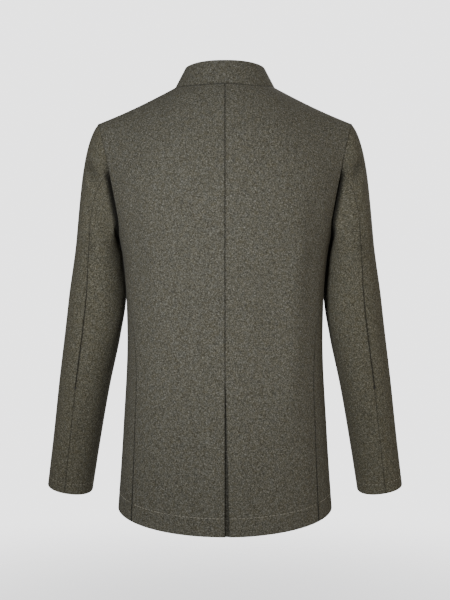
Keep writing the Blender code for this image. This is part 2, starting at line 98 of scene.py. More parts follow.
def add(tree, kind, settings=None, **inputs):
    """A node of that kind, with its settings, and each input set to a value or linked to a socket."""
    node = tree.nodes.new(kind)
    for name, value in (settings or {}).items():
        setattr(node, name, value)
    for name, value in inputs.items():
        key = int(name[1:]) if name[0] == "_" else name.replace("_", " ")
        if isinstance(value, bpy.types.NodeSocket):
            tree.links.new(value, node.inputs[key])
        else:
            node.inputs[key].default_value = value
    return node


def new_material(name):
    """An empty node material and its tree."""
    material = bpy.data.materials.new(name)
    material.use_nodes = True
    material.node_tree.nodes.clear()
    return material, material.node_tree


def finish_material(tree, shader):
    add(tree, "ShaderNodeOutputMaterial", Surface=shader.outputs[0])


def set_ramp(node, stops):
    """Gives a colour ramp its stops, each a place and an sRGB hex colour."""
    ramp = node.color_ramp
    while len(ramp.elements) < len(stops):
        ramp.elements.new(1.0)
    for element, (place, colour) in zip(ramp.elements, stops):
        element.position = place
        element.color = linear(colour)


print("mid grey in linear light:", round(linear("#808080")[0], 3))

# %% [markdown]
# ## Light
# A product photographer lights a jacket with a softbox beside the camera, gridded so that its light stays on
# the back and the sleeves are a little darker. Here that is the key lamp, slightly cool. A weak warm lamp on
# the right fills the far side, and a broad one in front serves the sides that the photograph doesn't show.

# %% Lamps
Lamp = namedtuple("Lamp", "name place aim size spread watts colour")  # metres, and degrees of spread
LAMPS = (
    Lamp("key_lamp", (0.66, 2.30, 0.00), (0.02, 0.10, -0.30), 0.5, 45, 3.05, "#eff4ff"),
    Lamp("fill_lamp", (-2.2, 0.6, -0.1), (-0.25, 0.0, -0.40), 1.2, 120, 2.8, "#fff3e2"),
    Lamp("front_lamp", (-1.2, -2.6, 0.9), (0.0, 0.0, -0.38), 2.0, 180, 52.0, "#ffffff"),
)

for row in LAMPS:
    lamp = bpy.data.objects.new(row.name, bpy.data.lights.new(row.name, "AREA"))
    lamp.data.size = row.size
    lamp.data.spread = math.radians(row.spread)
    lamp.data.energy = row.watts
    lamp.data.color = linear(row.colour)[:3]
    lamp.location = row.place
    lamp.rotation_euler = (Vector(row.aim) - lamp.location).to_track_quat("-Z", "Y").to_euler()
    bpy.context.scene.collection.objects.link(lamp)
print("lamps:", [row.name for row in LAMPS])

# %% [markdown]
# ## Room and floor
# A studio wall has lamps of its own, so it looks brighter than the light that reaches the cloth from it. The
# world therefore gives one strength to the eye and a smaller one to the cloth. The floor is a pale painted
# disc whose paint thins out before the rim, so that no view shows a horizon.

# %% Pale room
ROOM_GREY = "#e9e9ea"
ROOM_LIGHT = 0.29  # what the room gives to the cloth
ROOM_LOOK = 3.4  # how bright the wall behind looks

world = bpy.data.worlds.new("pale_room")
world.use_nodes = True
background = world.node_tree.nodes["Background"]
background.inputs["Color"].default_value = linear(ROOM_GREY)
rays = add(world.node_tree, "ShaderNodeLightPath")
seen = add(world.node_tree, "ShaderNodeMapRange", Value=rays.outputs["Is Camera Ray"], To_Min=ROOM_LIGHT,
           To_Max=ROOM_LOOK)
world.node_tree.links.new(seen.outputs["Result"], background.inputs["Strength"])
bpy.context.scene.world = world
print("room:", world.name, "light", ROOM_LIGHT, "look", ROOM_LOOK)

# %% Painted floor
FLOOR_DROP = 0.16  # below the hem
FLOOR_RADIUS = 1.7
FLOOR_PAINT = "#f7f7f7"
FLOOR_FADE = (0.25, 0.9)  # shares of the radius between which the paint thins out

floor_material, tree = new_material("pale_painted_floor")
place = add(tree, "ShaderNodeTexCoord")
radius = add(tree, "ShaderNodeVectorMath", {"operation": "LENGTH"}, _0=place.outputs["Object"])
fade = add(tree, "ShaderNodeMapRange", {"interpolation_type": "SMOOTHSTEP"}, Value=radius.outputs["Value"],
           From_Min=FLOOR_FADE[0] * FLOOR_RADIUS, From_Max=FLOOR_FADE[1] * FLOOR_RADIUS)
paint = add(tree, "ShaderNodeBsdfDiffuse", Color=linear(FLOOR_PAINT))
clear = add(tree, "ShaderNodeBsdfTransparent")
mix = add(tree, "ShaderNodeMixShader", _0=fade.outputs["Result"], _1=paint.outputs[0], _2=clear.outputs[0])
finish_material(tree, mix)

floor_mesh = bpy.data.meshes.new("floor")
shape = bmesh.new()
bmesh.ops.create_circle(shape, cap_ends=True, segments=96, radius=FLOOR_RADIUS)
bmesh.ops.translate(shape, verts=shape.verts, vec=(0.0, 0.0, CAD_BOX[0][2] - FLOOR_DROP))
shape.to_mesh(floor_mesh)
shape.free()
floor_mesh.materials.append(floor_material)
floor = bpy.data.objects.new("floor", floor_mesh)
bpy.context.scene.collection.objects.link(floor)
print("floor at height:", round(CAD_BOX[0][2] - FLOOR_DROP, 3), "m")

# %% [markdown]
# ## The wool
# The cloth is a milled wool flannel. Fibres of several dyed colours are mixed before spinning, so close
# up it is a salt and pepper of olive brown, mid grey and a few pale hairs, and from a step away an even
# grey olive. Milling and brushing raise a short nap that hides the twill and gives a soft pale edge at
# grazing angles, which is the job of the shader's sheen. The sleeves look a shade browner than the back
# in the warmer light on them, so their copy of the cloth is tinted warmer as painted warm light. The real
# flecks are under a millimetre, too fine for the picture, so they are drawn about twice as coarse.

# %% Sizes and colours of the wool
FLECK = 0.0021  # metres across, drawn coarse
PATCH = 0.007  # where one colour of fibre gathers
TWILL = 0.0022  # between the diagonal ridges, drawn coarse
TWILL_TURN = math.radians(38)
FIBRE_LENGTH = 0.0045
FIBRE_WIDTH = 0.0011
NAP_DEPTH = 0.00035
SEAM_SHADE = 0.90  # painted shade: how much darker the cloth is at the bottom of a seam or fold, out of the light
FLECK_STOPS = (0.30, 0.44, 0.52, 0.61, 0.74)  # of the noise, from between the fibres up to a pale fleck
OLIVE_FIBRES = ("#383427", "#504b3c", "#5c5745", "#6b6654", "#878273")
GREY_FIBRES = ("#39372e", "#514f45", "#5d5b50", "#6c6a5e", "#89877a")
PALE_HAIR = "#b3ae9f"
HAIR_TURNS = (0.35, 1.9)  # radians, the two ways that single hairs lie
HAIR_COVER = 0.32  # how much of the cloth's colour a hair hides
NAP_SHEEN = "#b9b6ab"
print("flecks:", round(1000 * FLECK, 1), "mm, hairs:", round(1000 * FIBRE_LENGTH, 1), "mm long")

# %% Wool material


def wool_material(name, painted_shade, painted_light_tint="#ffffff"):
    """Mixed wool flannel, with painted shade all over and in seams and folds, and a tint of painted light."""
    material, tree = new_material(name)
    place = add(tree, "ShaderNodeTexCoord")
    solid = place.outputs["Object"]
    fleck = add(tree, "ShaderNodeTexNoise", Vector=solid, Scale=1 / FLECK, Detail=3.0, Roughness=0.62)
    patch = add(tree, "ShaderNodeTexNoise", Vector=solid, Scale=1 / PATCH, Detail=2.0, Roughness=0.5)
    olive = add(tree, "ShaderNodeValToRGB", Fac=fleck.outputs["Fac"])
    set_ramp(olive, tuple(zip(FLECK_STOPS, OLIVE_FIBRES)))
    grey = add(tree, "ShaderNodeValToRGB", Fac=fleck.outputs["Fac"])
    set_ramp(grey, tuple(zip(FLECK_STOPS, GREY_FIBRES)))
    share = add(tree, "ShaderNodeMapRange", Value=patch.outputs["Fac"], From_Min=0.25, From_Max=0.75)
    mixed = add(tree, "ShaderNodeMix", {"data_type": "RGBA"}, _0=share.outputs["Result"],
                _6=olive.outputs["Color"], _7=grey.outputs["Color"])

    # Pale single hairs lie both ways along the cloth
    hair = mixed.outputs[2]
    for turn in HAIR_TURNS:
        lie = add(tree, "ShaderNodeMapping", {"vector_type": "TEXTURE"}, Vector=place.outputs["UV"],
                  Rotation=(0.0, 0.0, turn), Scale=(FIBRE_LENGTH, FIBRE_WIDTH, 1.0))
        strand = add(tree, "ShaderNodeTexNoise", {"noise_dimensions": "2D"}, Vector=lie.outputs["Vector"],
                     Scale=1.0, Detail=0.0)
        thin = add(tree, "ShaderNodeMapRange", Value=strand.outputs["Fac"], From_Min=0.66, From_Max=0.80,
                   To_Max=HAIR_COVER)
        over = add(tree, "ShaderNodeMix", {"data_type": "RGBA"}, _0=thin.outputs["Result"], _6=hair,
                   _7=linear(PALE_HAIR))
        hair = over.outputs[2]

    # The attribute read here is painted shade: 1 at the bottom of a seam or fold, where little light comes
    seam_and_fold_shade = add(tree, "ShaderNodeAttribute", {"attribute_name": "seam_and_fold_shade"})
    painted_seam_shade = add(tree, "ShaderNodeMapRange", Value=seam_and_fold_shade.outputs["Fac"], To_Min=painted_shade,
                  To_Max=painted_shade * (1 - SEAM_SHADE))
    darker = add(tree, "ShaderNodeMix", {"data_type": "RGBA", "blend_type": "MULTIPLY"}, _0=1.0, _6=hair,
                 _7=painted_seam_shade.outputs["Result"])
    tinted = add(tree, "ShaderNodeMix", {"data_type": "RGBA", "blend_type": "MULTIPLY"}, _0=1.0,
                 _6=darker.outputs[2], _7=linear(painted_light_tint))

    # Nap: mostly flecks that stand up, with a trace of the twill below them
    diagonal = add(tree, "ShaderNodeMapping", Vector=place.outputs["UV"], Rotation=(0.0, 0.0, TWILL_TURN))
    ridges = add(tree, "ShaderNodeTexWave", Vector=diagonal.outputs["Vector"], Scale=math.tau / (20 * TWILL),
                 Distortion=2.0, Detail=2.0, Detail_Scale=1.5)
    nap = add(tree, "ShaderNodeMix", {"data_type": "FLOAT"}, _0=0.30, _2=fleck.outputs["Fac"],
              _3=ridges.outputs["Fac"])
    bump = add(tree, "ShaderNodeBump", Strength=0.55, Distance=NAP_DEPTH, Height=nap.outputs[0])
    shader = add(tree, "ShaderNodeBsdfPrincipled", Base_Color=tinted.outputs[2], Roughness=0.93,
                 Specular_IOR_Level=0.2, Sheen_Weight=0.05, Sheen_Roughness=0.5,
                 Sheen_Tint=linear(NAP_SHEEN), Normal=bump.outputs["Normal"])
    finish_material(tree, shader)
    return material


WOOL = wool_material("milled_wool_flannel", 1.0)
# A copy darkened to half: painted shade for the underlap, which lies in shadow behind the vent
WOOL_PAINTED_SHADE = wool_material("milled_wool_flannel_underlap_painted_shade", 0.50)
# A copy tinted warmer: painted warm light for the sleeves, which look warmer than the back
WOOL_SLEEVE_PAINTED_WARM = wool_material("milled_wool_flannel_sleeve", 1.0, "#fffdf5")
print("materials:", WOOL.name, WOOL_PAINTED_SHADE.name, WOOL_SLEEVE_PAINTED_WARM.name)

# %% [markdown]
# ## The cut, drawn again
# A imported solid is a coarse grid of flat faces. Smoothing that would round off its seams, so the cloth is
# drawn again from the same cut: the girths of the worn jacket at a few heights, the places of the seams,
# the neck, the shoulder and the arm. Every panel is then a smooth function of how far across and how far
# up a point lies, and may be sampled as finely as its edges and creases need.

# %% Curves through a few sizes


def column(table, name):
    return np.array([getattr(row, name) for row in table], float)


def between(start, start_way, end, end_way, t):
    """A cubic from start to end that sets off along start_way and arrives along end_way."""
    return (
        start * (1 + 2 * t) * (1 - t) ** 2
        + start_way * t * (1 - t) ** 2
        + end * t**2 * (3 - 2 * t)
        - end_way * t**2 * (1 - t)
    )


def smooth(knots, values, at):
    """The smooth curve through values at rising knots, read at any places."""
    at = np.asarray(at, float)
    slopes = np.gradient(values, knots, axis=0)
    index = np.clip(np.searchsorted(knots, at, side="right") - 1, 0, len(knots) - 2)
    step = knots[index + 1] - knots[index]
    t = (at - knots[index]) / step
    if np.ndim(values) > 1:
        t, step = t[..., None], step[..., None]
    return between(values[index], slopes[index] * step, values[index + 1], slopes[index + 1] * step, t)


def ease(t):
    """From 0 to 1, level at both ends."""
    t = np.clip(t, 0, 1)
    return t * t * (3 - 2 * t)


def unit(vectors):
    return vectors / np.linalg.norm(vectors, axis=-1, keepdims=True)


def metres_along(points):
    """How far along a line of points each of them lies, from the first."""
    return np.concatenate([[0], np.cumsum(np.linalg.norm(np.diff(points, axis=0), axis=1))])


# %% [markdown]
# ## The body below the arms
# A tailor measures girths at the chest, the waist, the hip and the hem. Each is a ring here: a rounded
# rectangle rather than an ellipse, because a back is flatter than an oval. A smooth curve joins the rings,
# so the cloth has no kink at any of them.

# %% Girths of the body
WALL = 0.0025
SEAM_GAP = 0.0003
Ring = namedtuple("Ring", "name height half_width back front squareness")
BODY_RINGS = (
    Ring("hem", -0.800, 0.1960, 0.1410, 0.1340, 2.05),
    Ring("hip", -0.620, 0.1838, 0.1390, 0.1320, 2.20),
    Ring("waist", -0.430, 0.1765, 0.1220, 0.1270, 2.30),
    Ring("chest", -0.300, 0.1852, 0.1340, 0.1370, 2.35),
    Ring("armhole", -0.240, 0.1970, 0.1370, 0.1370, 2.35),
)
RING = {ring.name: ring for ring in BODY_RINGS}


def section(turn, squareness):
    """A half ring of size 1 at turns from its back to its front."""
    power = 2 / squareness
    x = np.abs(np.sin(turn)) ** power
    y = np.sign(np.cos(turn)) * np.abs(np.cos(turn)) ** power
    return x, y


def turns_by_girth():
    """The turn round a half section, from back to front, at even steps of its girth."""
    turn = np.linspace(0, np.pi, 2001)
    waist = RING["waist"]
    x, y = section(turn, waist.squareness)
    steps = np.hypot(np.diff(x) * waist.half_width, np.diff(y) * waist.back)
    return np.concatenate([[0], np.cumsum(steps)]) / np.sum(steps), turn


SHARES, TURNS = turns_by_girth()


def body_size(which, height):
    return smooth(column(BODY_RINGS, "height"), column(BODY_RINGS, which), height)


def body(share, height):
    """The outer face of the body below the armholes, on the wearer's left."""
    x, y = section(np.interp(share, SHARES, TURNS), body_size("squareness", height))
    depth = np.where(y > 0, body_size("back", height), body_size("front", height))
    return np.stack([body_size("half_width", height) * x, y * depth, height + 0 * x], axis=-1)


half_chest = body(np.linspace(0, 1, 400), np.full(400, RING["chest"].height))
print("girth at the chest:", round(2 * float(metres_along(half_chest)[-1]), 3), "m")

# %% [markdown]
# The seams are given as shares of the way round, so a panel is what lies between two of them. The back seam
# runs straight up from the hem and then curves out to the armhole, as it does in the photograph. The hem
# dips at the back.

# %% Hem, seams and lower panels
HEM_FRONT = -0.7410
HEM_SLOPE = 0.310
HEM_EASE = 0.10
Seam = namedtuple("Seam", "height back_share front_share")  # shares of the half girth from centre back
SIDE_SEAMS = (
    Seam(-0.800, 0.340, 0.660),
    Seam(-0.620, 0.346, 0.658),
    Seam(-0.510, 0.354, 0.655),
    Seam(-0.440, 0.376, 0.652),
    Seam(-0.365, 0.422, 0.650),
    Seam(-0.240, 0.415, 0.650),
)
ARMHOLE_HEIGHT = RING["armhole"].height
ARMHOLE_DIP = 0.036
RIGHT_SIDE = np.array([-1.0, 1.0, 1.0])  # turns the left half into the right half


def hem_height(share):
    depth = body(share, RING["hem"].height + 0 * share)[..., 1]
    return HEM_FRONT - HEM_SLOPE * (depth + np.hypot(depth, HEM_EASE)) / 2


def seam_share(which, height):
    return smooth(column(SIDE_SEAMS, "height"), column(SIDE_SEAMS, which), height)


SEAMS_OF = {
    "back": (np.zeros_like, lambda z: seam_share("back_share", z)),
    "front": (np.ones_like, lambda z: seam_share("front_share", z)),
    "side": (lambda z: seam_share("back_share", z), lambda z: seam_share("front_share", z)),
}


def lower_panel(panel, climb, across, top=ARMHOLE_HEIGHT):
    """Points from the hem (climb 0) to the armhole line (climb 1), across from one seam to the next."""
    first, last = SEAMS_OF[panel]
    climb = np.concatenate([[0.0], climb])[:, None]
    across = across[None, :]
    height = top + 0 * climb * across
    for _ in range(3):
        share = first(height) * (1 - across) + last(height) * across
        height = hem_height(share[:1]) * (1 - climb) + top * climb
    return body(first(height) * (1 - across) + last(height) * across, height)[1:]


print("hem height, back and front:", hem_height(np.array([0.0, 1.0])).round(3))

# %% [markdown]
# ## Neck and shoulders
# Above the armhole line the cloth leaves the rings and climbs to the neck and the shoulder seam. Each column
# is a cubic that sets off the way the cloth below was going and arrives leaning as a shoulder does, so no
# line shows across the back. The corner between neck and shoulder is eased away further down.

# %% Edge of the neck and the shoulder
NECK_HALF_WIDTH = 0.0905
NECK_BACK = 0.072
NECK_FRONT = 0.080
NECK_BACK_HEIGHT = -0.002
NECK_FRONT_DROP = 0.060
NECK_DROP_POWER = 1.5
NECK_SIDE_DIP = 0.0025
NECK_CORNER_SPREAD = 0.30
NECK_CORNER_DECAY = 4
SHOULDER_POINT = np.array([0.2312, -0.004, -0.0655])
SHOULDER_SAG = 0.0030
NECK_SHARE = {"back": 5 / 11, "front": 6 / 12}  # of a panel's columns that end at the neck


def neck_edge(panel, turn):
    """The seam of the collar, from the centre (turn 0) to the shoulder's neck end (a quarter turn)."""
    depth = NECK_BACK if panel == "back" else -NECK_FRONT
    drop = NECK_BACK_HEIGHT if panel == "back" else -NECK_FRONT_DROP
    dip = NECK_SIDE_DIP if panel == "back" else 0.0
    level = np.clip(np.cos(turn), 0, 1)
    height = drop * level**NECK_DROP_POWER - dip * np.sin(2 * turn)
    return np.stack([NECK_HALF_WIDTH * np.sin(turn), depth * level, height], axis=-1)


def top_edge(panel, across):
    """Neck and shoulder in one, from the centre of the panel to the shoulder point."""
    neck = NECK_SHARE[panel]
    t = np.clip((across - neck) / (1 - neck), 0, 1)[..., None]
    shoulder = np.array([NECK_HALF_WIDTH, 0.0, 0.0]) * (1 - t) + SHOULDER_POINT * t
    shoulder[..., 2] -= SHOULDER_SAG * np.sin(np.pi * t[..., 0])
    round_neck = neck_edge(panel, np.clip(across / neck, 0, 1) * np.pi / 2)
    return np.where((across < neck)[..., None], round_neck, shoulder)


def softened_edge(panel, across):
    """The top edge with its corner at the neck eased away, for the cloth further down to follow."""
    reach = np.minimum(NECK_CORNER_SPREAD, np.minimum(across, 1 - across))
    return np.mean([top_edge(panel, across + reach * part) for part in np.linspace(-1, 1, 21)], axis=0)


print("shoulder seam:", round(float(np.linalg.norm(SHOULDER_POINT - [NECK_HALF_WIDTH, 0, 0])), 3), "m")

# %% Upper panels
LAST_STEP = 1 / 17  # below the armhole line, over which a panel's upward way is read
Lean = namedtuple("Lean", "place back front")  # the way that the cloth arrives at the top edge
TOP_LEANS = (
    Lean("neck centre", (0.0, -0.50, 0.62), (0.0, 0.42, 0.66)),
    Lean("neck side", (0.0, -0.80, 0.04), (0.0, 0.76, 0.22)),
    Lean("shoulder point", (0.10, -0.75, 0.00), (0.10, 0.75, 0.00)),
)


def upper_panel(panel, climb, across):
    """Points from the armhole line (climb 0) up to the neck and shoulder (climb 1)."""
    below, start = lower_panel(panel, np.array([1 - LAST_STEP, 1.0]), across)
    end = softened_edge(panel, across)
    span = np.linalg.norm(end - start, axis=-1, keepdims=True)
    neck = NECK_SHARE[panel]
    centre, neck_side, shoulder = column(TOP_LEANS, panel)
    to_side, to_shoulder = ease(across / neck)[:, None], ease((across - neck) / (1 - neck))[:, None]
    leans = centre + (neck_side - centre) * to_side + (shoulder - neck_side) * to_shoulder
    climb = climb[:, None, None]
    corner = (top_edge(panel, across) - end) * climb**NECK_CORNER_DECAY
    return between(start, unit(start - below) * span, end, leans * span, climb) + corner


centre_back = upper_panel("back", np.linspace(0, 1, 50), np.array([0.0]))[:, 0]
print("centre back above the armholes:", round(float(metres_along(centre_back)[-1]), 3), "m")

# %% [markdown]
# ## Where to put the points
# Cloth is smooth over a hand's breadth and turns sharply at its edge. An even grid would waste points in
# the middle and starve the edge, so the points crowd within a few millimetres of every edge and also
# beside the two lines that show through the cloth: the hem's stitching and the edge of the vent's facing.

# %% Graded points
CELL = 0.0048  # between points in the open
EDGE_STEPS = np.array([0.0, 0.0002, 0.0006, 0.00125, 0.0022, 0.0036])
LINE_STEPS = np.array([-0.0030, -0.0016, -0.0007, 0.0, 0.0007, 0.0016, 0.0030])


def graded(length, lines=(), cell=CELL):
    """Places from 0 to 1 along a length in metres, crowded at both ends and at the lines, in metres."""
    rim = EDGE_STEPS[-1]
    open_points = np.linspace(rim, length - rim, max(2, round((length - 2 * rim) / cell)))
    for line in lines:
        clear = np.abs(open_points - line) > LINE_STEPS[-1] + cell / 3
        open_points = np.concatenate([open_points[clear], line + LINE_STEPS])
    points = np.concatenate([EDGE_STEPS[:-1], np.sort(open_points), length - EDGE_STEPS[-2::-1]])
    return points / length


HEM_TURN = 0.032  # the hem is turned up by this much and caught by hand
FACING = 0.053  # from the centre to the edge of the vent's facing
# Rough lengths along the cloth, which only set how many points a panel gets
LOWER_LENGTH = 0.545
UPPER_LENGTH = 0.240
BACK_WIDTH = 0.186
FRONT_WIDTH = 0.186
SIDE_WIDTH = 0.160

LOWER_CLIMB = graded(LOWER_LENGTH, [HEM_TURN])
rows_up = graded(UPPER_LENGTH)
UPPER_CLIMB = rows_up[rows_up > EDGE_STEPS[-1] / UPPER_LENGTH]
BACK_ACROSS = graded(BACK_WIDTH, [FACING])
FRONT_ACROSS = graded(FRONT_WIDTH)
SIDE_ACROSS = graded(SIDE_WIDTH)
print("rows:", len(LOWER_CLIMB), "+", len(UPPER_CLIMB), "columns of a back:", len(BACK_ACROSS))

# %% [markdown]
# ## Creases
# Pressed wool hardly wrinkles. What shows is a long shallow hollow down each side of the back, pulls below
# the armholes, a dent at the sleeve's head and a few bends at the elbow. A cloth simulation would find folds
# of its own, so these are listed one by one: each is a soft ridge or trough between two points. Most broad
# ones lie on both sides, as the cut makes them, and the smaller ones differ from side to side, because cloth
# never creases evenly. The fronts, which the photograph doesn't show, get a few where a buttoned front pulls.

# %% Crease tables
# Sideways is metres from the centre line on the body, and metres of girth from the outer line on a sleeve
Crease = namedtuple("Crease", "side sideways height to_sideways to_height breadth out")
BACK_CREASES = (
    Crease("both", 0.108, -0.620, 0.128, -0.220, 0.026, -0.0030),
    Crease("both", 0.137, -0.410, 0.167, -0.190, 0.018, 0.0030),
    Crease("both", 0.073, -0.770, 0.063, -0.510, 0.030, 0.0024),
    Crease("right", 0.132, -0.290, 0.104, -0.610, 0.022, -0.0034),
    Crease("left", 0.122, -0.300, 0.096, -0.520, 0.024, 0.0010),
    Crease("left", 0.160, -0.262, 0.112, -0.318, 0.011, -0.0011),
    Crease("right", 0.163, -0.276, 0.098, -0.342, 0.012, -0.0013),
    Crease("right", 0.158, -0.236, 0.120, -0.276, 0.009, 0.0008),
    Crease("left", 0.010, -0.452, 0.082, -0.438, 0.015, -0.0007),
    Crease("right", 0.012, -0.436, 0.070, -0.455, 0.013, -0.0007),
    Crease("left", 0.004, -0.508, 0.034, -0.548, 0.007, -0.0006),
    Crease("right", 0.004, -0.504, 0.026, -0.536, 0.006, -0.0006),
    Crease("left", 0.100, -0.120, 0.178, -0.170, 0.016, -0.0010),
    Crease("right", 0.090, -0.128, 0.180, -0.160, 0.018, -0.0012),
    Crease("left", 0.139, -0.700, 0.131, -0.560, 0.012, -0.0009),
    Crease("right", 0.142, -0.730, 0.136, -0.600, 0.010, -0.0010),
)
FRONT_CREASES = (
    Crease("both", 0.104, -0.410, 0.152, -0.190, 0.020, -0.0030),
    Crease("both", 0.082, -0.640, 0.102, -0.320, 0.028, 0.0026),
    Crease("both", 0.145, -0.740, 0.135, -0.500, 0.026, -0.0024),
    Crease("left", 0.030, -0.424, 0.118, -0.446, 0.010, -0.0011),
    Crease("right", 0.034, -0.418, 0.108, -0.436, 0.011, -0.0011),
    Crease("left", 0.028, -0.318, 0.092, -0.296, 0.009, -0.0008),
    Crease("right", 0.040, -0.536, 0.096, -0.552, 0.011, -0.0009),
    Crease("left", 0.150, -0.236, 0.102, -0.284, 0.010, -0.0012),
    Crease("right", 0.154, -0.246, 0.112, -0.300, 0.011, -0.0013),
    Crease("left", 0.052, -0.110, 0.100, -0.160, 0.014, -0.0009),
    Crease("right", 0.058, -0.104, 0.096, -0.166, 0.013, -0.0009),
)
SLEEVE_CREASES = (
    Crease("both", 0.043, -0.205, 0.045, -0.275, 0.020, 0.0020),
    Crease("both", 0.073, -0.250, 0.076, -0.320, 0.018, -0.0022),
    Crease("left", 0.018, -0.136, 0.064, -0.168, 0.0075, -0.0046),
    Crease("left", 0.028, -0.158, 0.068, -0.208, 0.0048, 0.0030),
    Crease("left", 0.052, -0.182, 0.070, -0.234, 0.0080, -0.0022),
    Crease("right", 0.022, -0.132, 0.066, -0.170, 0.0080, -0.0044),
    Crease("right", 0.030, -0.152, 0.066, -0.214, 0.0050, 0.0030),
    Crease("right", 0.056, -0.188, 0.072, -0.242, 0.0085, -0.0020),
    Crease("left", 0.084, -0.138, 0.078, -0.186, 0.005, -0.0011),
    Crease("right", 0.086, -0.142, 0.082, -0.178, 0.006, -0.0011),
    Crease("left", 0.024, -0.325, 0.022, -0.425, 0.006, 0.0010),
    Crease("right", 0.026, -0.310, 0.023, -0.430, 0.007, 0.0010),
    Crease("both", 0.258, -0.290, 0.260, -0.375, 0.022, 0.0026),
    Crease("both", 0.226, -0.380, 0.262, -0.450, 0.018, -0.0030),
    Crease("both", 0.250, -0.415, 0.282, -0.495, 0.018, 0.0030),
    Crease("both", 0.206, -0.470, 0.240, -0.535, 0.018, -0.0026),
    Crease("both", 0.152, -0.395, 0.136, -0.460, 0.020, 0.0024),
    Crease("left", 0.214, -0.430, 0.292, -0.402, 0.008, -0.0014),
    Crease("right", 0.220, -0.440, 0.300, -0.418, 0.009, -0.0015),
    Crease("left", 0.200, -0.500, 0.276, -0.468, 0.009, -0.0012),
    Crease("right", 0.196, -0.488, 0.270, -0.472, 0.008, -0.0011),
    Crease("left", 0.104, -0.556, 0.084, -0.662, 0.013, -0.0010),
    Crease("right", 0.110, -0.570, 0.088, -0.640, 0.012, -0.0010),
    Crease("left", 0.188, -0.300, 0.150, -0.352, 0.012, -0.0014),
    Crease("right", 0.192, -0.310, 0.146, -0.348, 0.012, -0.0014),
)
print("creases:", len(BACK_CREASES), "back,", len(FRONT_CREASES), "front,", len(SLEEVE_CREASES), "sleeve")

# %% Press the creases in
CREASE_FADE = 0.020  # from an edge, over which creases die out
HOLLOW_DEPTH = 0.0045  # of a trough that lies wholly in shade
SLEEVE_GIRTH = 0.36  # that a sleeve's sideways places are counted in


def normals(grid):
    """Outward normals of a grid whose rows climb and whose columns run left to right seen from outside."""
    up = np.gradient(grid, axis=0)
    along = np.gradient(grid, axis=1)
    return unit(np.cross(along, up))


def edge_distances(grid):
    """Metres from each point to the left, right, lower and upper edge, along the cloth."""
    across = np.cumsum(np.linalg.norm(np.diff(grid, axis=1, prepend=grid[:, :1]), axis=-1), axis=1)
    up = np.cumsum(np.linalg.norm(np.diff(grid, axis=0, prepend=grid[:1]), axis=-1), axis=0)
    return across, across[:, -1:] - across, up, up[-1:] - up


def creased(grid, sideways, creases, side, near, girth=None):
    """The grid moved into one side's creases, which die out where near is small, and its hollows, 0 to 1."""
    height = grid[..., 2]
    out = np.zeros(height.shape)
    for crease in creases:
        if crease.side not in ("both", side):
            continue
        run = crease.to_sideways - crease.sideways
        rise = crease.to_height - crease.height
        length = math.hypot(run, rise)
        over = sideways - crease.sideways
        if girth:
            over = (over + girth / 2) % girth - girth / 2
        up = height - crease.height
        along = (over * run + up * rise) / length**2
        aside = (over * rise - up * run) / length
        out += crease.out * np.exp(-((aside / crease.breadth) ** 2) - (2 * along - 1) ** 4)
    out = out * ease(near / CREASE_FADE)
    return grid + normals(grid) * out[..., None], np.clip(-out / HOLLOW_DEPTH, 0, 1)


# %% [markdown]
# ## From a grid to cloth
# A cloth edge isn't square: the wool is turned in at a seam and over at a hem, so it rolls. The shell has
# an outer and an inner face a wall apart, and within half a wall of any edge both bend towards the middle
# and meet, which gives a half-round edge all along. Two such edges side by side make the soft groove of a
# seam. Each piece also gets a UV map in metres, so that the twill follows the panel.

# %% Walls that meet at a seam
SAME_POINT_DECIMALS = 6  # two panels share a point where it agrees to a micrometre
MITRE_LIMIT = 0.7  # keeps the wall from growing long where panels meet at a sharp turn


def walls(grids):
    """Outward wall directions of panels sewn together, with one mitred direction where they share a point."""
    ways = [normals(grid) for grid in grids]
    keys = [list(map(tuple, np.round(grid.reshape(-1, 3), SAME_POINT_DECIMALS))) for grid in grids]
    met = {}
    for places, way in zip(keys, ways):
        for place, direction in zip(places, way.reshape(-1, 3)):
            met.setdefault(place, []).append(direction)
    shared = []
    for places, way in zip(keys, ways):
        flat = way.reshape(-1, 3).copy()
        for k, place in enumerate(places):
            if len(met[place]) > 1:
                mean = unit(np.sum(met[place], axis=0))
                flat[k] = mean / max(np.mean(met[place] @ mean), MITRE_LIMIT)
        shared.append(flat.reshape(way.shape))
    return shared


# %% Painted shade beside a sewn edge
SEAM_BREADTH = 0.0014


def dent(distance, breadth):
    """A soft bump of height 1 where the distance is 0."""
    return np.exp(-((distance / breadth) ** 2))


def painted_seam_shade(grid, left=0.0, right=0.0, lower=0.0, upper=0.0):
    """Painted shade beside each sewn edge, from 0 to 1, even or changing along the edge."""
    strengths = (left, right, lower, upper)
    return np.max([s * dent(d, SEAM_BREADTH) for s, d in zip(strengths, edge_distances(grid))], axis=0)


# %% One closed shell


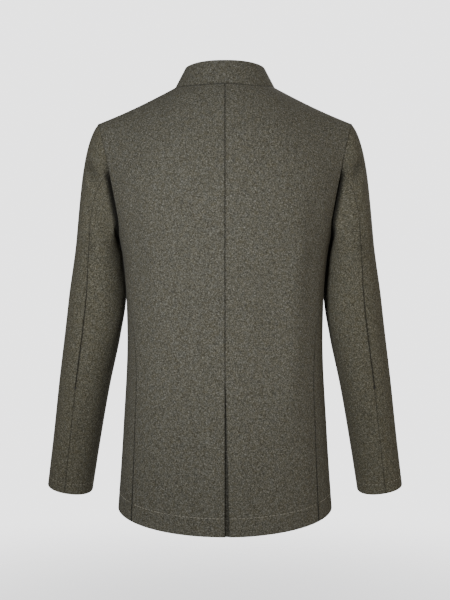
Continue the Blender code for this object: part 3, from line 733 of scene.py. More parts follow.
def cloth_mesh(name, grid, way, thickness, rolled, seam_and_fold_shade, material):
    """A closed shell from a grid of outer points and its wall directions, half-round where it is rolled."""
    near = edge_distances(grid)
    half = thickness / 2
    edge = np.clip(np.min([d for d, roll in zip(near, rolled) if roll], axis=0), 0, half)
    sink = half - np.sqrt(half**2 - (half - edge) ** 2)
    outside = grid - way * sink[..., None]
    inside = grid - way * (thickness - sink)[..., None]
    rows, columns = grid.shape[:2]
    index = np.arange(rows * columns).reshape(rows, columns)
    inner = index.copy()
    inner[1:-1, 1:-1] = rows * columns + np.arange((rows - 2) * (columns - 2)).reshape(rows - 2, columns - 2)
    points = np.concatenate([outside.reshape(-1, 3), inside[1:-1, 1:-1].reshape(-1, 3)])

    def quads(at):
        return np.stack([at[:-1, :-1], at[:-1, 1:], at[1:, 1:], at[1:, :-1]], axis=-1).reshape(-1, 4)

    faces = np.concatenate([quads(index), quads(inner)[:, ::-1]])
    mesh = bpy.data.meshes.new(name)
    mesh.vertices.add(len(points))
    mesh.vertices.foreach_set("co", points.astype(np.float32).ravel())
    mesh.loops.add(faces.size)
    mesh.loops.foreach_set("vertex_index", faces.astype(np.int32).ravel())
    mesh.polygons.add(len(faces))
    mesh.polygons.foreach_set("loop_start", np.arange(0, faces.size, 4, dtype=np.int32))
    flat = np.stack([near[0], near[2]], axis=-1).reshape(-1, 2)
    flat = np.concatenate([flat, flat.reshape(rows, columns, 2)[1:-1, 1:-1].reshape(-1, 2)])
    layer = mesh.uv_layers.new(name="cloth")
    layer.uv.foreach_set("vector", flat[faces.ravel()].astype(np.float32).ravel())
    # The painted shade of seams and folds rides on the points as an attribute
    shaded = mesh.attributes.new("seam_and_fold_shade", "FLOAT", "POINT")
    darkness = np.concatenate([seam_and_fold_shade.ravel(), seam_and_fold_shade[1:-1, 1:-1].ravel()])
    shaded.data.foreach_set("value", darkness.astype(np.float32))
    mesh.update(calc_edges=True)
    mesh.validate()
    mesh.shade_smooth()
    mesh.materials.append(material)
    return mesh


# %% [markdown]
# ## From a shell to a piece of the jacket
# Every piece rides on the jacket's one body and stands for its imported solid.

# %% Sew a panel


def dress(piece, slot, *nodes):
    """Puts a finished piece in the scene, on the jacket's one body, in place of its solids."""
    if piece.name not in bpy.context.scene.collection.objects:
        bpy.context.scene.collection.objects.link(piece)
    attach(piece, "root")
    if nodes:
        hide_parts(*nodes)
    return piece


Edges = namedtuple("Edges", "left right lower upper")
ALL_EDGES = Edges(True, True, True, True)
NOT_LOWER = Edges(True, True, False, True)


def sew(node, grid, way, seam_and_fold_shade, material=WOOL, thickness=WALL, rolled=ALL_EDGES, slot="wool"):
    """One panel of cloth: its shell and its place on the body."""
    name = f"{node}_cloth"
    mesh = cloth_mesh(name, grid, way, thickness, rolled, seam_and_fold_shade, material)
    piece = bpy.data.objects.new(name, mesh)
    dress(piece, slot, node)
    return piece


# %% [markdown]
# ## Backs, sides and fronts
# The body is sewn from six panels. The two backs meet at the centre seam down to the vent, where the right
# one is drawn a little aside. The fronts run past the centre and lap, the wearer's left over the right, so
# the left one is lifted by a wall and eased down again. Panels that meet share the points of their seam.

# %% Cut of the backs, sides and fronts


def body_panel(panel, side):
    """The left back or front: columns run from its centre line out to the side seam and armhole."""
    across = BACK_ACROSS if panel == "back" else FRONT_ACROSS
    grid = np.concatenate([lower_panel(panel, LOWER_CLIMB, across), upper_panel(panel, UPPER_CLIMB, across)])
    creases = BACK_CREASES if panel == "back" else FRONT_CREASES
    return creased(grid, np.abs(grid[..., 0]), creases, side, np.min(edge_distances(grid), axis=0))[0]


def side_panel(across):
    """The left side panel, from the back seam round to the front one, scooped out under the arm."""
    turn = np.arccos(1 - 2 * across)
    top = ARMHOLE_HEIGHT - ARMHOLE_DIP * np.sin(turn)[None, :]
    return lower_panel("side", LOWER_CLIMB, across, top)


def mirrored(grid):
    """The other half's panel, with its columns still running left to right seen from outside."""
    return grid[:, ::-1] * RIGHT_SIDE


# %% Hem and vent
VENT_TOP = -0.511
VENT_OPENING = 0.0072  # between the two backs, at the hem
VENT_EASE = 0.070  # across the right back, over which it is drawn aside less and less
STITCH_PULL = 0.00030  # how deep the stitches of a hem or cuff pull at the cloth
STITCH_BREADTH = 0.0012  # of the line that they leave
FACING_TOP = VENT_TOP - 0.05  # where the edge of the facing begins to show
FACING_FADE = 0.06
FACING_BREADTH = 0.0016
FACING_RIDGE = 0.00035
FACING_SHOWS = 0.30  # of a seam's painted shade, along the edge of the facing


def caught(grid, turn_up):
    """The shallow line where the stitches of a turned-up edge pull at the cloth."""
    low = edge_distances(grid)[2]
    return grid - normals(grid) * (STITCH_PULL * dent(low - turn_up, STITCH_BREADTH))[..., None]


def facing_line(grid):
    """The edge of the vent's facing, fading out below the top of the vent."""
    fade = ease((FACING_TOP - grid[..., 2]) / FACING_FADE)
    return fade * dent(edge_distances(grid)[1] - FACING, FACING_BREADTH)


def facing_pressed(grid):
    return grid + normals(grid) * (FACING_RIDGE * facing_line(grid))[..., None]


def vent_opened(back):
    """The right back, drawn aside from the centre below the top of the vent."""
    fall = np.clip((VENT_TOP - back[..., 2]) / (VENT_TOP - back[0, 0, 2]), 0, 1)
    moved = back.copy()
    moved[..., 0] -= VENT_OPENING * fall * (1 - ease(-back[..., 0] / VENT_EASE))
    return moved


# %% Overlap of the fronts
FRONT_OVERLAP = 0.026  # how far each front runs past the centre
OVERLAP_REST = 0.0008  # between the two layers
OVERLAP_EASE = 0.055  # over which the left front comes down off the right one
TOP_EASE = 0.012  # from the top edge, over which the left front is drawn down below the collar


def with_overlap(front):
    """A front carried past the centre by its overlap, on the mirror image of its own first columns."""
    both_ends = graded(FRONT_OVERLAP * 2)
    reaches = FRONT_OVERLAP * (1 - both_ends[: len(both_ends) // 2] * 2)
    x = front[..., 0]
    beyond = []
    for reach in reaches:
        line = [[np.interp(reach, x[r], front[r, :, k]) for k in range(3)] for r in range(len(front))]
        beyond.append(np.array(line) * RIGHT_SIDE)
    inner = front[:, np.concatenate([[0], np.arange(len(EDGE_STEPS) - 1, front.shape[1])])]
    return np.concatenate([np.stack(beyond, axis=1), inner], axis=1)


def lifted_over(front):
    """The left front raised where it lies on the right one, its top edge kept below the collar."""
    height = WALL + OVERLAP_REST
    lift = 1 - ease((front[..., 0] - FRONT_OVERLAP - WALL) / OVERLAP_EASE)
    raised = front + normals(front) * (lift * height)[..., None]
    down = -unit(np.gradient(raised, axis=0))
    high = edge_distances(raised)[3]
    return raised + down * (lift * height * (1 - ease(high / TOP_EASE)))[..., None]


# %% The six panels
backs = {side: body_panel("back", side) for side in ("left", "right")}
fronts = {side: with_overlap(body_panel("front", side)) for side in ("left", "right")}
side = side_panel(SIDE_ACROSS)
panels = {
    "back_left": backs["left"][:, ::-1],
    "back_right": vent_opened(backs["right"] * RIGHT_SIDE),
    "side_left": side[:, ::-1],
    "side_right": side * RIGHT_SIDE,
    "front_left": lifted_over(fronts["left"]),
    "front_right": mirrored(fronts["right"]),
}
panels = {name: caught(grid, HEM_TURN) for name, grid in panels.items()}
panels["back_left"] = facing_pressed(panels["back_left"])
print("panels:", {name: grid.shape[:2] for name, grid in panels.items()})

# %% [markdown]
# A pressed seam is a dark line because its groove is deep and narrow and little light reaches it. That shade
# is painted: each panel carries it as numbers on its points, which the wool material reads. How dark it is
# changes along a seam: the sleeve's seam lies flat at the shoulder and in the shade of the back lower down.

# %% Sew the body
ARMHOLE_DARK_HEIGHTS = (-0.26, -0.235, -0.16, -0.12, -0.07)
ARMHOLE_DARK = (1.0, 1.0, 0.9, 0.6, 0.5)
CENTRE_DARK = 0.50
NECK_DARK = 0.80
SHOULDER_DARK = 0.35


def armhole_dark(height):
    return np.interp(height, ARMHOLE_DARK_HEIGHTS, ARMHOLE_DARK)


def seams_of_body(name, grid):
    """The painted shade of a panel of the body beside each of its seams."""
    outer = armhole_dark(grid[..., 2])
    top = np.where(np.abs(grid[..., 0]) < NECK_HALF_WIDTH, NECK_DARK, SHOULDER_DARK)
    centre = CENTRE_DARK if name.startswith("back") else 0.0
    if name.startswith("side"):
        return painted_seam_shade(grid, left=outer, right=outer, upper=outer)
    if name in ("back_left", "front_right"):
        return painted_seam_shade(grid, left=outer, right=centre, upper=top)
    return painted_seam_shade(grid, left=centre, right=outer, upper=top)


for (name, grid), way in zip(panels.items(), walls(panels.values())):
    seam_and_fold_shade = seams_of_body(name, grid)
    if name == "back_left":
        seam_and_fold_shade = np.maximum(seam_and_fold_shade, FACING_SHOWS * facing_line(grid))
    sew(name, grid, way, seam_and_fold_shade)

# %% [markdown]
# ## The strip behind the vent
# The vent doesn't open on daylight. An underlap runs down behind it, a fold of the same wool, and what
# shows through the slit is this strip in shade. It is made from the backs' own points moved in by a wall.

# %% Vent underlap
UNDERLAP_LEFT = 3 / 11  # of a back's width
UNDERLAP_RIGHT = 2 / 11
UNDERLAP_TOP = 10 / 17  # of the climb to the armhole line
UNDERLAP_BOW = 0.0022
STRIP_WIDTH = 0.079
STRIP_LENGTH = 0.322


def underlap():
    """The strip's outer face, from the left back across the centre to the right one."""
    place = graded(STRIP_WIDTH) * (UNDERLAP_LEFT + UNDERLAP_RIGHT) - UNDERLAP_LEFT
    climb = graded(STRIP_LENGTH) * UNDERLAP_TOP
    grid = lower_panel("back", climb, np.abs(place))
    grid = grid * np.where(place < 0, 1.0, -1.0)[:, None] ** np.array([1.0, 0.0, 0.0])
    aside = np.abs(grid[..., 0])
    grid = creased(grid, aside, BACK_CREASES, "left", np.minimum(aside, edge_distances(grid)[2]))[0]
    share = (place + UNDERLAP_LEFT) / (UNDERLAP_LEFT + UNDERLAP_RIGHT)
    bow = UNDERLAP_BOW * np.sin(np.pi * share)
    return grid - normals(grid) * (WALL + SEAM_GAP + bow)[None, :, None]


strip = underlap()
# The strip is sewn in the darker copy of the wool, which is painted shade
sew("vent_underlap", strip, normals(strip), painted_seam_shade(strip), WOOL_PAINTED_SHADE, slot="wool_underlap")

# %% [markdown]
# ## Sleeves
# A tailored sleeve is two pieces, an upper and a narrower under one, with a seam down the elbow and one at
# the front. It is set into the armhole and bends forward at the elbow, as an arm hangs. Each column of the
# grid leaves the armhole in its own direction and then follows rings down the arm.

# %% Sizes of the sleeve
ArmRing = namedtuple("ArmRing", "name x y z half_width half_depth")
SLEEVE_RINGS = (
    ArmRing("bicep", 0.2298, -0.026, -0.300, 0.0439, 0.0730),
    ArmRing("upper arm", 0.2317, -0.030, -0.365, 0.0515, 0.0700),
    ArmRing("elbow", 0.2417, -0.035, -0.440, 0.0506, 0.0650),
    ArmRing("forearm", 0.2577, -0.048, -0.530, 0.0468, 0.0590),
    ArmRing("low forearm", 0.2749, -0.068, -0.640, 0.0435, 0.0530),
    ArmRing("wrist", 0.2890, -0.084, -0.732, 0.0420, 0.0490),
)
SLEEVE_SQUARENESS = 2.15
SLEEVE_TURN = 0.03  # of a full turn, by which the seams wind round the arm down to the wrist
# The way that the cloth leaves the armhole, at shares of the way round from the shoulder
Leave = namedtuple("Leave", "share direction")
SLEEVE_LEAVES = (
    Leave(0.00, (0.40, 0.00, -0.62)),
    Leave(0.20, (0.60, 0.16, -0.48)),
    Leave(0.35, (0.82, 0.12, -0.12)),
    Leave(0.50, (0.80, 0.00, 0.10)),
    Leave(0.65, (0.80, -0.35, -0.10)),
    Leave(0.80, (0.55, -0.45, -0.45)),
    Leave(1.00, (0.40, 0.00, -0.62)),
)
print("sleeve rings:", [ring.name for ring in SLEEVE_RINGS])

# %% Way round the armhole
# In steps from the shoulder down the back, under the arm and up the front
BACK_STEPS = 8
SIDE_STEPS = 6
ALL_STEPS = 2 * BACK_STEPS + SIDE_STEPS
ELBOW_SEAM = 5
FRONT_SEAM = 15


def armhole(step):
    """Points round the left armhole, at steps from the shoulder."""
    found = np.zeros((len(step), 3))
    down_back = step <= BACK_STEPS
    up_front = step >= BACK_STEPS + SIDE_STEPS
    under = ~(down_back | up_front)
    edge = np.array([1.0])
    for panel, chosen, climb in (
        ("back", down_back, 1 - step / BACK_STEPS),
        ("front", up_front, (step - BACK_STEPS - SIDE_STEPS) / BACK_STEPS),
    ):
        found[chosen] = upper_panel(panel, climb[chosen], edge)[:, 0]
    turn = (step[under] - BACK_STEPS) / SIDE_STEPS * np.pi
    across = (1 - np.cos(turn)) / 2
    top = ARMHOLE_HEIGHT - ARMHOLE_DIP * np.sin(turn)[None, :]
    found[under] = lower_panel("side", np.array([1.0]), across, top)[0]
    return found


ROUND_STEPS = np.linspace(0, ALL_STEPS, 1 + 40 * ALL_STEPS)
ROUND_LENGTH = metres_along(armhole(ROUND_STEPS))
print("armhole:", round(float(ROUND_LENGTH[-1]), 3), "m round")

# %% Rings down the arm
NUDGE = 1e-3  # metres to each side, over which the arm's direction is read


def sleeve_ring(place, round_share):
    """Points of the sleeve at places down the arm (0 bicep, 1 wrist), at shares of the way round."""
    centres = np.stack([column(SLEEVE_RINGS, k) for k in "xyz"], axis=-1)
    knots = metres_along(centres)
    at = place * knots[-1]
    centre = smooth(knots, centres, at)
    way = unit(smooth(knots, centres, at + NUDGE) - smooth(knots, centres, at - NUDGE))
    width, depth = (smooth(knots, column(SLEEVE_RINGS, c), at) for c in ("half_width", "half_depth"))
    outwards = unit(np.cross(np.array([0.0, 1.0, 0.0]), -way))
    backwards = unit(np.cross(-way, outwards))
    turn = 2 * np.pi * (round_share + SLEEVE_TURN * place[..., None])
    power = 2 / SLEEVE_SQUARENESS
    out = np.sign(np.cos(turn)) * np.abs(np.cos(turn)) ** power
    rear = np.sign(np.sin(turn)) * np.abs(np.sin(turn)) ** power
    spread = outwards[..., None, :] * (width[..., None] * out)[..., None]
    return centre[..., None, :] + spread + backwards[..., None, :] * (depth[..., None] * rear)[..., None]


# %% [markdown]
# The body's edge stands a little proud of the sleeve at the armhole, because the seam is pressed towards the
# sleeve. Below the shoulder blade the sleeve folds in deeper, behind the edge of the back, which makes the
# dark line that runs down to the armpit in the photograph.

# %% One whole sleeve
SEWN_UNDER = 0.0025  # how far the sleeve's edge runs on under the armhole's
SET_IN = 0.0012  # and how far it lies below, so that the body's edge stands over it
FOLD_DEPTH = 0.0060  # more, where the sleeve folds in behind the edge of the back
FOLD_TOP = -0.135  # height of the upper end of that fold
FOLD_TOP_EASE = 0.035
FOLD_SIDE_EASE = 0.03  # from back to front, over which it ends under the arm
SET_IN_EASE = 0.014
CUFF_TURN = 0.020
CAP_LENGTH = 0.17  # roughly, from the armhole to the first ring, for the number of points
ARM_LENGTH = 0.46  # and from there to the cuff
ARM_START = 0.02  # of the way down the arm, over which the cap's last direction is read


def behind_back(grid, reach=0.0):
    """Where the sleeve folds in behind the back's edge, and so far on under the arm."""
    return ease((FOLD_TOP - grid[..., 2]) / FOLD_TOP_EASE) * ease((grid[..., 1] + reach) / FOLD_SIDE_EASE)


def sleeve(step, side):
    """The whole left sleeve, with rows from the wrist up, and columns past the front seam at both ends."""
    step = step % (ALL_STEPS + 1e-9)  # a hair more, so that the last step isn't turned back into the first
    opening = armhole(step)
    share = np.interp(step, ROUND_STEPS, ROUND_LENGTH) / ROUND_LENGTH[-1]
    end = sleeve_ring(np.array([0.0]), share)[0]
    end_way = sleeve_ring(np.array([ARM_START]), share)[0] - end
    span = np.linalg.norm(end - opening, axis=-1, keepdims=True)
    leave = smooth(column(SLEEVE_LEAVES, "share"), column(SLEEVE_LEAVES, "direction"), share)
    cap_rows = graded(CAP_LENGTH)
    cap_rows = cap_rows[cap_rows < 1 - EDGE_STEPS[-1] / CAP_LENGTH][:, None, None]
    cap = between(opening, leave * span, end, unit(end_way) * span, cap_rows)
    arm_rows = 1 - graded(ARM_LENGTH, [CUFF_TURN])[::-1]
    arm = sleeve_ring(arm_rows[arm_rows > EDGE_STEPS[-1] / ARM_LENGTH], share)
    grid = np.concatenate([cap, arm])[::-1]
    ends = np.min(edge_distances(grid)[2:], axis=0)
    grid, hollow = creased(grid, share[None, :] * SLEEVE_GIRTH, SLEEVE_CREASES, side, ends, SLEEVE_GIRTH)
    tuck = 1 - ease(edge_distances(grid)[3] / SET_IN_EASE)
    sink = SET_IN + FOLD_DEPTH * behind_back(grid)
    up = unit(np.gradient(grid, axis=0))
    grid = grid + up * (SEWN_UNDER * tuck)[..., None] - normals(grid) * (sink * tuck)[..., None]
    return caught(grid, CUFF_TURN), hollow


# %% [markdown]
# Each sleeve is drawn whole and then cut at its two seams, so its pieces share the points there. Where it
# folds in behind the back, and in the hollows of its other folds, little light comes, so the cloth is
# darkened there by the same numbers that darken a seam.

# %% Cut the sleeves in two
UPPER_WIDTH = 0.20
UNDER_WIDTH = 0.16
SPARE = 2  # columns past the seam, so that both sides of it get the same normals
upper_steps = FRONT_SEAM + graded(UPPER_WIDTH) * (ALL_STEPS - FRONT_SEAM + ELBOW_SEAM)
under_steps = upper_steps[-1] + graded(UNDER_WIDTH) * (FRONT_SEAM - ELBOW_SEAM)
round_steps = np.concatenate([under_steps[-1 - SPARE : -1] - ALL_STEPS, upper_steps, under_steps[1:],
                              upper_steps[1 : 1 + SPARE] + ALL_STEPS])
seam_column = SPARE + len(upper_steps) - 1
parts = {"upper": slice(SPARE, seam_column + 1), "under": slice(seam_column, -SPARE)}
sleeves, hollows = {}, {}
for side_of in ("left", "right"):
    whole, hollow = sleeve(round_steps, side_of)
    for part, columns in parts.items():
        name = f"{part}_sleeve_{side_of}"
        sleeves[name] = whole[:, columns] if side_of == "left" else mirrored(whole[:, columns])
        hollows[name] = hollow[:, columns] if side_of == "left" else hollow[:, columns][:, ::-1]
print("sleeve pieces:", {name: grid.shape[:2] for name, grid in sleeves.items()})

# %% Sew the sleeves
FRONT_SEAM_DARK = 0.35
# The elbow seam's painted shade is darkest between its bar tack and the armpit
ELBOW_DARK_HEIGHTS = (-0.550, -0.540, -0.420, -0.300, -0.190)
ELBOW_DARK = (0.22, 0.85, 0.78, 0.50, 0.12)
FOLD_BREADTH = 0.0125  # of the band of painted shade behind the edge of the back
FOLD_REACH = 0.045  # how far that band runs on under the arm
HOLLOW_SHADE = 0.34  # how much of a seam's painted shade the hollow of another fold gets

for (name, grid), way in zip(sleeves.items(), walls(sleeves.values())):
    side_of = name.split("_")[-1]
    elbow = np.interp(grid[..., 2], ELBOW_DARK_HEIGHTS, ELBOW_DARK)
    left, right = FRONT_SEAM_DARK, elbow
    if name in ("under_sleeve_left", "upper_sleeve_right"):
        left, right = elbow, FRONT_SEAM_DARK
    # Painted shade beside the seams, behind the back's edge and in the hollows of folds
    seam_and_fold_shade = painted_seam_shade(grid, left=left, right=right, upper=armhole_dark(grid[..., 2]))
    painted_shade_behind_back = behind_back(grid, FOLD_REACH) * np.exp(-((edge_distances(grid)[3] / FOLD_BREADTH) ** 4))
    seam_and_fold_shade = np.max([seam_and_fold_shade, painted_shade_behind_back, HOLLOW_SHADE * hollows[name]], axis=0)
    sew(name, grid, way, seam_and_fold_shade, WOOL_SLEEVE_PAINTED_WARM, rolled=Edges(True, True, True, False))

# %% [markdown]
# ## Stand collar
# The collar is a band with no fall: two layers with a stiffener between, so it is thicker than the rest. It
# stands on the neck seam, leans in towards its top and meets edge to edge at the front, where its corners
# are rounded.

# %% Collar
COLLAR_WALL = 0.0035
COLLAR_BACK_HEIGHT = 0.0436
COLLAR_FRONT_HEIGHT = 0.038
COLLAR_SIDE_RISE = 0.0032
COLLAR_SIDE_LEAN = 0.54
COLLAR_BACK_LEAN = 0.25
COLLAR_FRONT_LEAN = 0.12
COLLAR_CORNER = 0.016
COLLAR_CORNER_DROP = 0.0096
COLLAR_GAP = 0.0006
COLLAR_SEAT = 0.0008  # how far the band is sewn down past the neck seam
COLLAR_END_GAP = 0.0010
COLLAR_END_EASE = 0.004
COLLAR_LENGTH = 0.27  # half of it, round the neck
COLLAR_CELL = 0.0040  # between points along the band
COLLAR_ROW = 0.0030  # and up it


def collar():
    """A band on the neck seam from one front end round to the other."""
    place = graded(COLLAR_LENGTH, cell=COLLAR_CELL) * np.pi
    place = np.concatenate([place[place < np.pi - EDGE_STEPS[-1] / COLLAR_LENGTH * np.pi], [np.pi]])
    half = np.where((place < np.pi / 2)[:, None], neck_edge("front", place), neck_edge("back", np.pi - place))
    base = np.concatenate([half[:-1] * RIGHT_SIDE, half[::-1]])
    turn = np.arctan2(base[:, 0] / NECK_HALF_WIDTH, base[:, 1] / NECK_BACK)
    backness, sideness = np.cos(turn), np.abs(np.sin(turn))
    centre_lean = np.where(backness > 0, COLLAR_BACK_LEAN, COLLAR_FRONT_LEAN)
    lean = centre_lean * np.abs(backness) ** 2 + COLLAR_SIDE_LEAN * sideness**2
    height = COLLAR_FRONT_HEIGHT + (COLLAR_BACK_HEIGHT - COLLAR_FRONT_HEIGHT) * (1 + backness) / 2
    height = height + COLLAR_SIDE_RISE * 2 * sideness * np.clip(backness, 0, 1)
    from_end = metres_along(base)
    from_end = np.minimum(from_end, from_end[-1] - from_end)
    corner = np.clip(1 - from_end / COLLAR_CORNER, 0, 1)
    height = height - COLLAR_CORNER_DROP * (1 - np.sqrt(1 - corner**2))
    inwards = unit(base * np.array([-1.0, -1.0, 0.0]))
    climb = graded(COLLAR_BACK_HEIGHT, cell=COLLAR_ROW)[:, None, None]
    rise = unit(np.array([0.0, 0.0, 1.0]) + inwards * lean[:, None])
    grid = base + rise * height[:, None] * climb
    grid[..., 2] += COLLAR_GAP * climb[..., 0] - COLLAR_SEAT * (1 - climb[..., 0])
    outwards = np.where(np.arange(len(base)) < len(half), -1, 1)
    grid[..., 0] += COLLAR_END_GAP / 2 * (1 - ease(from_end / COLLAR_END_EASE)) * outwards
    return grid[:, ::-1]


band = collar()
# Painted shade along the neck seam
sew("collar", band, normals(band), painted_seam_shade(band, lower=NECK_DARK), thickness=COLLAR_WALL, rolled=NOT_LOWER)

# %% [markdown]
# ## Stitches
# A hem and a cuff are turned up and caught by hand, with a small pick of thread every centimetre or so. A
# stitch repeats along a path, which is what Geometry Nodes does well: the tree walks the path at an even
# pitch, puts a grain of thread at each step, a little uneven in size, and lays it along the path or in a
# given direction. The result is baked to a mesh, so that nothing stays live.

# %% Tree for a row of stitches


def stitch_tree():
    """Grains of thread at even steps along the edges of a mesh."""
    tree = bpy.data.node_groups.new("row_of_stitches", "GeometryNodeTree")
    named = (("Geometry", "Geometry"), ("Pitch", "Float"), ("Length", "Float"), ("Thickness", "Float"),
             ("Laid", "Bool"), ("Direction", "Vector"), ("Unevenness", "Float"), ("Seed", "Int"),
             ("Thread", "Material"))
    for name, kind in named:
        tree.interface.new_socket(name, in_out="INPUT", socket_type=f"NodeSocket{kind}")
    tree.interface.new_socket("Geometry", in_out="OUTPUT", socket_type="NodeSocketGeometry")
    given = tree.nodes.new("NodeGroupInput").outputs
    path = add(tree, "GeometryNodeMeshToCurve", Mesh=given["Geometry"])
    steps = add(tree, "GeometryNodeCurveToPoints", {"mode": "LENGTH"}, Curve=path.outputs[0],
                Length=given["Pitch"])
    way = add(tree, "GeometryNodeSwitch", {"input_type": "VECTOR"}, Switch=given["Laid"],
              _1=steps.outputs["Tangent"], _2=given["Direction"])
    turn = add(tree, "FunctionNodeAlignRotationToVector", {"axis": "Z"}, Vector=way.outputs[0])
    size = add(tree, "ShaderNodeCombineXYZ", X=given["Thickness"], Y=given["Thickness"], Z=given["Length"])
    less = add(tree, "ShaderNodeMath", {"operation": "SUBTRACT"}, _0=1.0, _1=given["Unevenness"])
    more = add(tree, "ShaderNodeMath", {"operation": "ADD"}, _0=1.0, _1=given["Unevenness"])
    chance = add(tree, "FunctionNodeRandomValue", {"data_type": "FLOAT"}, _2=less.outputs[0],
                 _3=more.outputs[0], Seed=given["Seed"])
    uneven = add(tree, "ShaderNodeVectorMath", {"operation": "SCALE"}, _0=size.outputs[0],
                 Scale=chance.outputs[1])
    grain = add(tree, "GeometryNodeMeshUVSphere", Segments=8, Rings=6, Radius=0.5)
    rows = add(tree, "GeometryNodeInstanceOnPoints", Points=steps.outputs["Points"],
               Instance=grain.outputs["Mesh"], Rotation=turn.outputs[0], Scale=uneven.outputs[0])
    real = add(tree, "GeometryNodeRealizeInstances", Geometry=rows.outputs[0])
    soft = add(tree, "GeometryNodeSetShadeSmooth", _0=real.outputs[0])
    done = add(tree, "GeometryNodeSetMaterial", Geometry=soft.outputs[0], Material=given["Thread"])
    add(tree, "NodeGroupOutput", _0=done.outputs[0])
    return tree


ROW_OF_STITCHES = stitch_tree()
print("tree:", ROW_OF_STITCHES.name, "with", len(ROW_OF_STITCHES.nodes), "nodes")

# %% From a path to stitches


def stitched(name, paths, slot, **values):
    """The rows of stitches along some paths, as one mesh on the jacket."""
    line = bpy.data.meshes.new(f"{name}_path")
    ends = np.cumsum([0] + [len(path) for path in paths])
    edges = [(k, k + 1) for a, b in zip(ends[:-1], ends[1:]) for k in range(a, b - 1)]
    line.from_pydata(np.concatenate(paths).tolist(), edges, [])
    guide = bpy.data.objects.new(f"{name}_path", line)
    bpy.context.scene.collection.objects.link(guide)
    modifier = guide.modifiers.new("stitches", "NODES")
    modifier.node_group = ROW_OF_STITCHES
    for socket in ROW_OF_STITCHES.interface.items_tree:
        if socket.in_out == "INPUT" and socket.name in values:
            modifier[socket.identifier] = values[socket.name]
    evaluated = guide.evaluated_get(bpy.context.evaluated_depsgraph_get())
    mesh = bpy.data.meshes.new_from_object(evaluated)
    mesh.name = name
    bpy.data.objects.remove(guide)
    bpy.data.meshes.remove(line)
    print(f"{name}: {len(mesh.polygons)} faces")
    return dress(bpy.data.objects.new(name, mesh), slot)


# %% [markdown]
# Sewing thread is two or three plies of spun polyester or silk twisted together. Close up its ridges catch
# the light and the grooves between them are darker, and here both are painted: pale spots of painted
# highlight and dark spots of painted shade, half a millimetre across with a shallow bump. The twist is finer
# than the picture can show, so it is drawn about twice as coarse.

# %% Spun thread
THREAD_TWIST = 0.0005  # along one turn of the plies, drawn coarse
THREAD_GROOVE = 0.0001


def thread_material(name, groove_shade, ridge_highlight):
    """Twisted thread: painted highlight where a ply stands up, painted shade between two plies, slightly
    glossy.
    """
    material, tree = new_material(name)
    place = add(tree, "ShaderNodeTexCoord")
    twist = add(tree, "ShaderNodeTexNoise", Vector=place.outputs["Object"], Scale=1 / THREAD_TWIST,
                Detail=2.0)
    colour = add(tree, "ShaderNodeValToRGB", Fac=twist.outputs["Fac"])
    set_ramp(colour, ((0.34, groove_shade), (0.66, ridge_highlight)))
    bump = add(tree, "ShaderNodeBump", Strength=0.5, Distance=THREAD_GROOVE, Height=twist.outputs["Fac"])
    shader = add(tree, "ShaderNodeBsdfPrincipled", Base_Color=colour.outputs["Color"], Roughness=0.62,
                 Normal=bump.outputs["Normal"])
    finish_material(tree, shader)
    return material


# Each pair of colours is the painted shade in a groove and the painted highlight on a ridge
WOOL_THREAD = thread_material("grey_olive_thread", "#938b78", "#bfb8a5")
DARK_THREAD = thread_material("dark_brown_thread", "#211d18", "#3a342d")
print("threads:", WOOL_THREAD.name, DARK_THREAD.name)

# %% [markdown]
# The picks run along the line where the turned-up edge ends, one row on each panel. The photograph shows them
# as a faint pale line, so the thread lies almost in the cloth.

# %% Picks along the hem and the cuffs
PICK_PITCH = 0.0065
PICK_END = 6  # columns at each end of a panel with no pick
THREAD_LIFT = 0.0001  # of a stitch's middle, off the face of the cloth


def line_above(grid, rise):
    """The line along a panel at that distance above its lower edge, on the face of the cloth."""
    low = edge_distances(grid)[2]
    out = grid + normals(grid) * THREAD_LIFT
    columns = range(PICK_END, grid.shape[1] - PICK_END)
    return np.array([[np.interp(rise, low[:, c], out[:, c, k]) for k in range(3)] for c in columns])


hem_lines = [line_above(grid, HEM_TURN) for grid in panels.values()]
cuff_lines = [line_above(grid, CUFF_TURN) for grid in sleeves.values()]
stitched("hem_picks", hem_lines, "wool", Pitch=PICK_PITCH, Length=0.0050, Thickness=0.0009, Laid=False,
         Unevenness=0.2, Seed=3, Thread=WOOL_THREAD)
stitched("cuff_picks", cuff_lines, "wool", Pitch=PICK_PITCH, Length=0.0036, Thickness=0.0008, Laid=False,
         Unevenness=0.2, Seed=5, Thread=WOOL_THREAD)

# %% [markdown]
# A bar tack is a few stitches side by side across a seam, where it would otherwise tear. One closes the top
# of each sleeve's opening, on the elbow seam a hand's length above the cuff.

# %% Bar tacks on the elbow seams
TACK_RISE = 0.204  # above the cuff's edge
TACK_DEPTH = 0.0022  # along the seam
TACK_WIDTH = 0.0050  # across it

for side_of, edge_column, next_column in (("left", -1, -2), ("right", 0, 1)):
    grid = sleeves[f"upper_sleeve_{side_of}"]
    low = edge_distances(grid)[2][:, edge_column]
    rises = TACK_RISE + np.linspace(-0.5, 0.5, 4) * TACK_DEPTH
    face = grid[:, edge_column] + normals(grid)[:, edge_column] * THREAD_LIFT
    tack = np.stack([np.interp(rises, low, face[:, k]) for k in range(3)], axis=-1)
    row = int(np.searchsorted(low, TACK_RISE))
    across_seam = unit(grid[row, edge_column] - grid[row, next_column])
    stitched(f"bar_tack_{side_of}", [tack], "wool", Pitch=0.00045, Length=TACK_WIDTH, Thickness=0.0007,
             Laid=True, Direction=across_seam.tolist(), Unevenness=0.08, Seed=7, Thread=DARK_THREAD)

# %% [markdown]
# ## Buttons and buttonholes
# Five buttons of horn, turned with a raised rim and a dished middle and drilled with four holes. They are
# sewn to the right front and come through holes worked in the left one, so a stretch of each hole's close
# purl stitches shows beside the button, on the side towards the body of the front.

